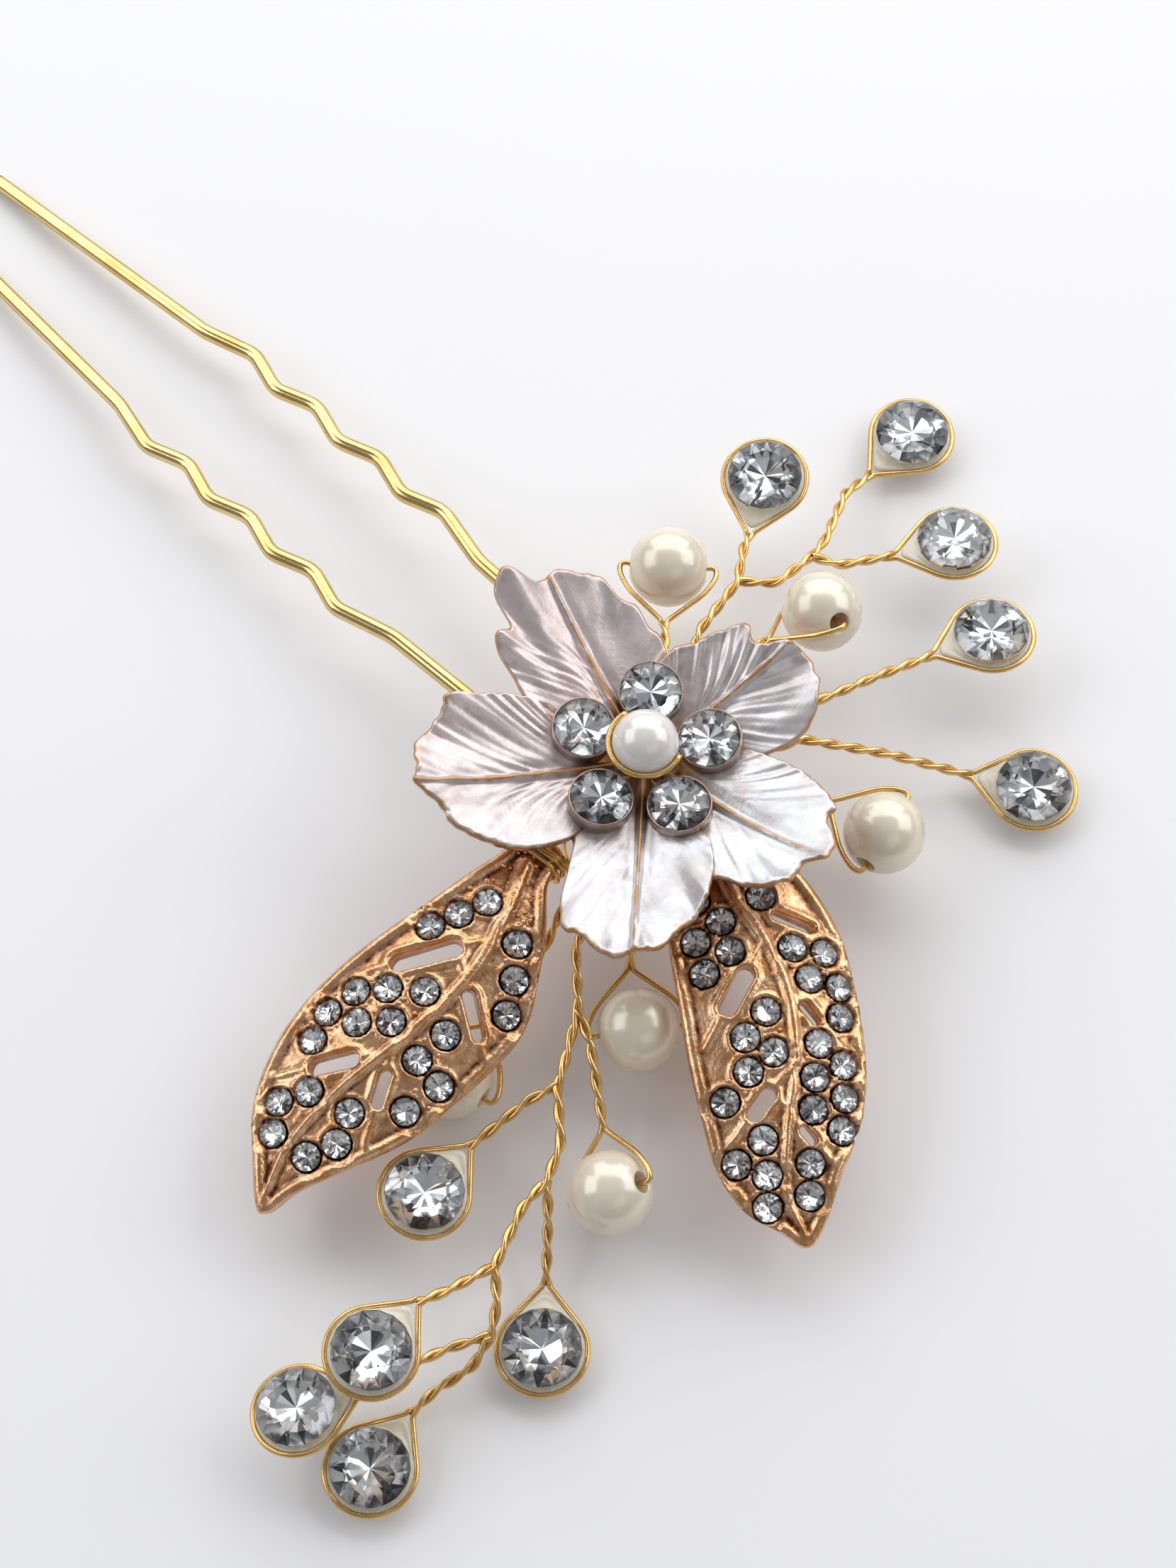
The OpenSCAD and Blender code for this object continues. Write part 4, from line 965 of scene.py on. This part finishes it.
def leaf(side):
    facts = LEAVES[side]
    outline = spline([(u, v, 0) for u, v in facts["outline"]], 7, closed=True)[:, :2]
    rib = spline([(u, v, 0) for u, v in facts["rib"]], 6)[:, :2]
    slots = [slot_ring(*s) for s in facts["slots"]]
    rings, edges, start = [outline] + slots, [], 0
    for ring in rings:
        n = len(ring)
        edges += [(start + i, start + (i + 1) % n) for i in range(n)]
        start += n
    step = 0.2
    u, v = np.meshgrid(np.arange(-1.2, 31.6, step), np.arange(-6.8, 7.4, step * 0.87))
    u = u + (np.arange(u.shape[0])[:, None] % 2) * step / 2
    field = np.stack([u.ravel(), v.ravel()], axis=1)
    keep = within(field, outline) & (away(field, outline, True) > 0.1)
    for ring in slots:
        keep &= ~within(field, ring) & (away(field, ring, True) > 0.1)
    field = field[keep]
    flat = np.concatenate(rings + [field])
    cut = delaunay_2d_cdt([Vector(p) for p in flat.tolist()], edges, [], 0, 1e-6)
    flat = np.array([tuple(p) for p in cut[0]])
    tris = np.array(cut[2])
    middle = flat[tris].mean(axis=1)
    keep = within(middle, outline)
    for ring in slots:
        keep &= ~within(middle, ring)
    tris = tris[keep]
    # lift of the upper face
    edge = away(flat, outline, True)
    midrib = away(flat, rib)
    lift = -0.12 + 0.05 * ripple(flat[:, 0] * 1.3, flat[:, 1] * 1.6, 3)
    shelf = np.clip((edge - 0.75) / 0.35, 0, 1)
    lift = lift * shelf + 0.1 * (1 - shelf)
    bead = np.clip(1 - ((edge - 0.36) / 0.42) ** 2, 0, 1)
    lift = np.maximum(lift, 0.02 + 0.34 * np.sqrt(bead) * (bead > 0))
    wide = 0.62 - 0.012 * flat[:, 0]
    lift = np.maximum(lift, 0.46 * np.sqrt(np.clip(1 - (midrib / wide) ** 2, 0, 1)) - 0.05)
    holes = np.full(len(flat), 9.0)
    for ring, s in zip(slots, facts["slots"]):
        hole = away(flat, ring, True)
        holes = np.minimum(holes, hole)
        c = np.array([math.cos(math.radians(s[2])), math.sin(math.radians(s[2]))])
        for sign in (-1, 1):
            a = np.array(s[:2]) + sign * c * (s[3] + s[4])
            vein = away(flat, [a, a + sign * c * 2.6])
            lift = np.maximum(lift, 0.3 * np.sqrt(np.clip(1 - (vein / 0.34) ** 2, 0, 1)) - 0.06)
    lift = np.maximum(lift, 0.24 * np.sqrt(np.clip(1 - ((holes - 0.2) / 0.3) ** 2, 0, 1)) - 0.04)
    gem = np.full(len(flat), 9.0)
    for q in facts["stones"]:
        gem = np.minimum(gem, np.linalg.norm(flat - np.array(q), axis=1))
    collar = np.sqrt(np.clip(1 - ((gem - 1.22) / 0.2) ** 2, 0, 1))
    lift = np.where(gem < 1.5, np.maximum(np.minimum(lift, 0.12), 0.16 * collar - 0.03), lift)
    pit = gem < 1.08
    lift = np.where(pit, np.clip(-0.4 - 0.8 * (1 - gem), -1.15, 0), lift)
    # painted shade: the hollow mark is high in low places, in the trough inside the rim, beside the midrib,
    # round each stone and in full in the stone pits
    hollow = np.clip((0.16 - lift) / 0.34, 0, 1) * 0.75
    hollow += 0.55 * np.exp(-((edge - 0.95) / 0.22) ** 2) + 0.5 * np.exp(-((midrib - wide - 0.18)
                                                                           / 0.16) ** 2)
    hollow += 0.75 * np.exp(-((gem - 1.06) / 0.12) ** 2)
    hollow = np.where(pit, 1.0, np.clip(hollow, 0, 1))
    near_neck = np.clip((5 - flat[:, 0]) / 5, 0, 1)
    lift = lift + near_neck * 0.12 * ripple(flat[:, 0] * 4, flat[:, 1] * 4, 11) * (edge > 0.5)
    n = len(flat)
    place = facts["place"]
    upper = moved(place, on_crest(flat, lift))
    lower = moved(place, on_crest(flat, np.full(n, -LEAF_T) + 0.05 * ripple(flat[:, 0], flat[:, 1], 5)))
    # make every triangle face up, then find the open edges for the walls
    p = flat[tris]
    area = ((p[:, 1, 0] - p[:, 0, 0]) * (p[:, 2, 1] - p[:, 0, 1]) - (p[:, 2, 0] - p[:, 0, 0])
            * (p[:, 1, 1] - p[:, 0, 1]))
    tris = np.where(area[:, None] > 0, tris, tris[:, ::-1])
    used = {}
    for a, b, c in tris.tolist():
        for e in ((a, b), (b, c), (c, a)):
            used[e] = True
    walls = [(e[1], e[0]) for e in used if (e[1], e[0]) not in used]
    faces = tris.tolist() + (tris[:, ::-1] + n).tolist()
    faces += [(a, b, b + n, a + n) for a, b in walls]
    made = Build()
    made.put(np.concatenate([upper, lower]), faces, hollow=np.concatenate([hollow, np.full(n, 0.35)]))
    # grains of metal: at the neck and between the stones
    rng = np.random.RandomState(21 if side == "left" else 22)
    spots, sizes = [], []
    for _ in range(110):
        q = np.array([rng.uniform(-0.8, 5.5), rng.uniform(-3.5, 4.5)])
        size = rng.uniform(0.5, 1.2)
        stones_away = min(np.linalg.norm(q - np.array(s)) for s in facts["stones"])
        if within([q], outline)[0] and away([q], outline, True)[0] > 0.75 and stones_away > 1.35:
            spots.append(q)
            sizes.append(size)
    gems = np.array(facts["stones"])
    for i in range(len(gems)):
        for j in range(i):
            gap = gems[j] - gems[i]
            reach = np.linalg.norm(gap)
            if reach < 3.2:
                for s in (-1, 1):
                    q = (gems[i] + gems[j]) / 2 + s * np.array([-gap[1], gap[0]]) / reach * 0.72
                    if min(np.linalg.norm(gems - q, axis=1)) > 1.1 and away([q], rib)[0] > 0.5:
                        spots.append(q)
                        sizes.append(1.0)
    dots = skin(f"leaf_{side}_grains", moved(place, on_crest(np.array(spots), np.full(len(spots), 0.05))), [],
                [],
                marks={"size": sizes})
    grow(dots, GRAIN, Grain_radius=0.2 * MM, Finish=ROSE)
    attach(dots, "pin")
    belongs(made.mesh(f"leaf_{side}_casting", [ROSE]), "leaf_metal", f"leaf_{side}")
    rng = np.random.RandomState(5)
    stone(f"leaf_{side}_stones_cut", [place @ seat(*q) @ turn(rng.uniform(0, 45), "Z")
                                      for q in facts["stones"]],
          PAVE_SHAPE, "pave_stone", f"leaf_{side}_stones")
    # the wire round the neck, four uneven turns, and its tail to the hub
    t = np.linspace(0, 1, 260)
    a = 2 * math.pi * 3.6 * t + 0.6
    c, s = np.cos(a), np.sin(a)
    path = np.stack([-1.05 + 1.5 * t + 0.12 * np.sin(a * 1.3), 2.35 * np.sign(s) * np.abs(s) ** 0.55,
                     -1.85 + 1.15 * np.sign(c) * np.abs(c) ** 0.55], axis=1)
    tail = np.array([(-5, 0, -3.0), (-3.6, 0.2, -3.0), (-2.2, 0.9, -2.95)])
    path = spline(np.concatenate([tail, path[6::5]]), 4)
    piece(f"leaf_{side}_neck_wire", GOLD, "gold_wire", f"leaf_{side}_binding",
          tube(moved(place, even(path, 0.12)), WIRE / 2, 10))


leaf("left")
leaf("right")


# ---------- stone drops and pearls ----------
def drops():
    shape = (STONE_D, 1.1, 0.3, 2.0)
    bend = math.acos(LOOP_R / LOOP_NECK)
    inner = WIRE / 2 - GAP
    sides = 72
    for k in range(1, 11):
        place = drop_place(k)
        stone(f"drop_stone_{k}_cut", [place @ shift(0, 0, STONE_SEAT) @ turn(11 * k, "Z")], shape,
              "foiled_stone",
              f"drop_stone_{k}")
        # the resin film: from under the stone's edge out to the wire, and on into the point of the loop
        a = np.linspace(-math.pi, math.pi, sides, endpoint=False)
        away_from_neck = math.pi - np.abs(a)
        reach = np.where(away_from_neck < bend, (LOOP_R - inner) / np.cos(bend - away_from_neck), LOOP_R
                         - inner)
        reach = np.minimum(reach, LOOP_NECK - 0.45)
        rows = []
        for f, z in ((0.0, 0.5), (0.12, 0.34), (0.35, 0.2), (0.7, 0.14), (0.95, 0.16), (1.0, 0.05),
                     (1.0, -0.08),
                     (0.9, -0.16), (0.4, -0.24), (0.0, -0.3)):
            start = 2.66 if z > 0 else 1.9
            r = start + (reach - start) * f
            rows.append(np.stack([r * np.cos(a), r * np.sin(a), z + 0.03
                                  * ripple(3 * np.cos(a), 3 * np.sin(a), k)],
                                 axis=1))
        n = len(rows)
        faces = grid_faces(n, sides, closed=True, flip=True)
        last = (n - 1) * sides
        faces += [(j, (j + 1) % sides, last + (j + 1) % sides, last + j) for j in range(sides)]
        piece(f"drop_resin_{k}_film", RESIN, "clear_resin", f"drop_resin_{k}", (np.concatenate(rows), faces),
              place)


drops()


def pearls():
    r, bore = PEARL_D / 2, 0.75
    start = math.degrees(math.asin((bore + 0.16) / r))
    arc = np.radians(np.linspace(start, 180 - start, 40))
    profile = [(r * math.sin(t), -r * math.cos(t)) for t in arc]
    z = profile[-1][1]
    profile += [(bore + 0.07, z), (bore + 0.02, z - 0.05), (bore, z - 0.13), (bore, -z + 0.13),
                (bore + 0.02, -z + 0.05), (bore + 0.07, -z)]
    points, faces = lathe(profile, 64)
    for k in range(1, 7):
        piece(f"pearl_{k}_bead", IVORY, "ivory_pearl", f"pearl_{k}", (points, faces),
              pearl_place(k) @ turn(-90, "X"), body=f"pearl_{k}")


pearls()


# ---------- stems ----------
class Stems:
    """Collects the centre lines of the stems and loops of one wire."""

    def __init__(self):
        self.points, self.edges, self.side, self.left, self.pair = [], [], [], [], []

    def line(self, path, side, left, pair):
        start = len(self.points)
        self.points += path.tolist()
        self.edges += [(start + i, start + i + 1) for i in range(len(path) - 1)]
        self.side += side.tolist()
        self.left += list(left)
        self.pair += [pair] * len(path)

    def stem(self, points, radii, across):
        """A twisted pair that ends with its two wires side by side along across."""
        path = even(rounded(points, radii), 0.14)
        side = carried(path[::-1], np.asarray(across, float))[::-1]
        steps = np.linalg.norm(np.diff(path, axis=0), axis=1)
        left = np.concatenate([np.cumsum(steps[::-1])[::-1], [0]])
        self.line(path, side, left * MM, 1.0)

    def loop(self, path):
        path = even(path, 0.14)
        self.line(path, carried(path, np.array([0.3, 0.2, 1.0])), np.zeros(len(path)), 0.0)

    def grown(self, name, *stands_for):
        mesh = bpy.data.meshes.new(name)
        mesh.from_pydata((np.array(self.points) * MM).tolist(), self.edges, [])
        mesh.attributes.new("side", "FLOAT_VECTOR", "POINT").data.foreach_set(
            "vector", np.array(self.side, np.float32).ravel())
        for key, values in (("left", self.left), ("pair", self.pair)):
            mesh.attributes.new(key, "FLOAT", "POINT").data.foreach_set("value", np.array(values, np.float32))
        made = bpy.data.objects.new(name, mesh)
        bpy.context.scene.collection.objects.link(made)
        grow(made, TWIST, Wire_diameter=WIRE * MM, Turn_length=TWIST_PITCH * MM, Finish=GOLD)
        belongs(made, "gold_wire", *stands_for)


def stem_to(stems, place, points):
    """A twisted stem through points about the flower's axis, to the neck of the loop at place."""
    neck = moved(place, [(-LOOP_NECK, 0, 0)])[0]
    across = moved(place, [(0, 1, 0)])[0] - moved(place, [(0, 0, 0)])[0]
    path = [np.array(p) + AXIS for p in points] + [neck]
    stems.stem(path, [STEM_BEND_R] * len(path), across)


def stem_to_drop(stems, k, points):
    place = drop_place(k)
    stem_to(stems, place, points)
    bend = math.acos(LOOP_R / LOOP_NECK)
    a = np.linspace(math.pi - bend, -(math.pi - bend), 60)
    ring = [(LOOP_R * math.cos(t), LOOP_R * math.sin(t), 0) for t in a]
    half = WIRE / 2
    ends = [(-LOOP_NECK - 0.25, half, 0), (-LOOP_NECK + 0.15, half + 0.12, 0)]
    path = ends + ring + [(x, -y, z) for x, y, z in ends[::-1]]
    stems.loop(moved(place, path))


def stem_to_pearl(stems, k, points):
    place = pearl_place(k)
    stem_to(stems, place, points)
    half = [(-4.85, 0.2, 0), (-4.45, 0.3, 0), (-3.3, 1.5, 0), (-2.2, 2.65, 0), (-1.25, 3.3, 0),
            (-0.55, 3.58, 0),
            (-0.05, 3.55, 0), (0.13, 3.2, 0), (0.06, 2.6, 0)]
    path = half + [(0, 0, 0)] + [(x, -y, z) for x, y, z in half[::-1]]
    stems.loop(moved(place, spline(path, 8)))


def single_stems():
    to_pearls = {1: [(2.9, 2.2, HUB_Z), (8.3, 5.9, 7.0)], 2: [(3.6, -0.5, HUB_Z), (10, 2.3, 7.2)],
                 3: [(1.4, -4.1, HUB_Z), (5.5, -6.5, 7.0)], 4: [(-2.0, -3.2, HUB_Z), (-7, -6, 7.0)],
                 6: [(-3.6, 0.4, HUB_Z), (-8, -1.6, 6.4), (-14.1, -3.6, 4.6)]}
    to_drops = {4: [(3.3, -1.7, HUB_Z), (10, -3.6, 7.1), (18.4, -6.3, 5.7)],
                5: [(2.6, -2.8, HUB_Z), (10.2, -6.1, 6.9), (14.5, -10.7, 4.7)]}
    for kind, add_stem, routes in (("pearl", stem_to_pearl, to_pearls), ("drop", stem_to_drop, to_drops)):
        for k, points in routes.items():
            stems = Stems()
            add_stem(stems, k, points)
            stems.grown(f"wire_{kind}_{k}_twist", f"wire_{kind}_{k}")


def upper_branch():
    a, b = (16.4, 6.2, 6.6), (22.2, 4.0, 5.6)
    stems = Stems()
    stem_to_drop(stems, 1, [(3.4, 0.9, HUB_Z), (11.2, 5.2, 7.2), a, (19, 8, 6.3)])
    stem_to_drop(stems, 2, [a, (18.4, 4.2, 6.2), b, (24.1, 4.4, 5.1), (28.9, 6.6, 3.3)])
    stem_to_drop(stems, 3, [b, (23.3, 2.2, 5.1)])
    stems.grown("wire_upper_branch_twist", "wire_upper_branch")


def lower_branch():
    j1, j2, j3 = (-15.9, -8.9, 6.2), (-20.8, -11.7, 5.6), (-26, -15.8, 4.7)
    j4, j5 = (-32.8, -17.5, 4.6), (-36.2, -20.5, 3.3)
    stems = Stems()
    stem_to_drop(stems, 9, [(-3.2, -1.7, HUB_Z), (-8, -3.9, 7.2), (-12.7, -5.6, 6.8), j1, (-19.3, -10.9, 5.8),
                            j2,
                            (-23.5, -14.7, 5.0), j3, (-28.4, -15.9, 4.7), j4, (-34.4, -19.3, 3.9), j5,
                            (-38.6, -21.0, 2.6), (-41.4, -20.2, 1.8)])
    stem_to_pearl(stems, 5, [j1, (-17, -11.2, 5.9)])
    stem_to_drop(stems, 6, [j2, (-22.8, -10.9, 5.2)])
    stem_to_drop(stems, 10, [j3, (-27.3, -17.2, 4.0), (-30.1, -19.8, 2.3)])
    stem_to_drop(stems, 7, [j4, (-36.6, -16.6, 5.6)])
    stem_to_drop(stems, 8, [j5, (-38.9, -19.0, 3.2)])
    stems.grown("wire_lower_branch_twist", "wire_lower_branch")


single_stems()
upper_branch()
lower_branch()
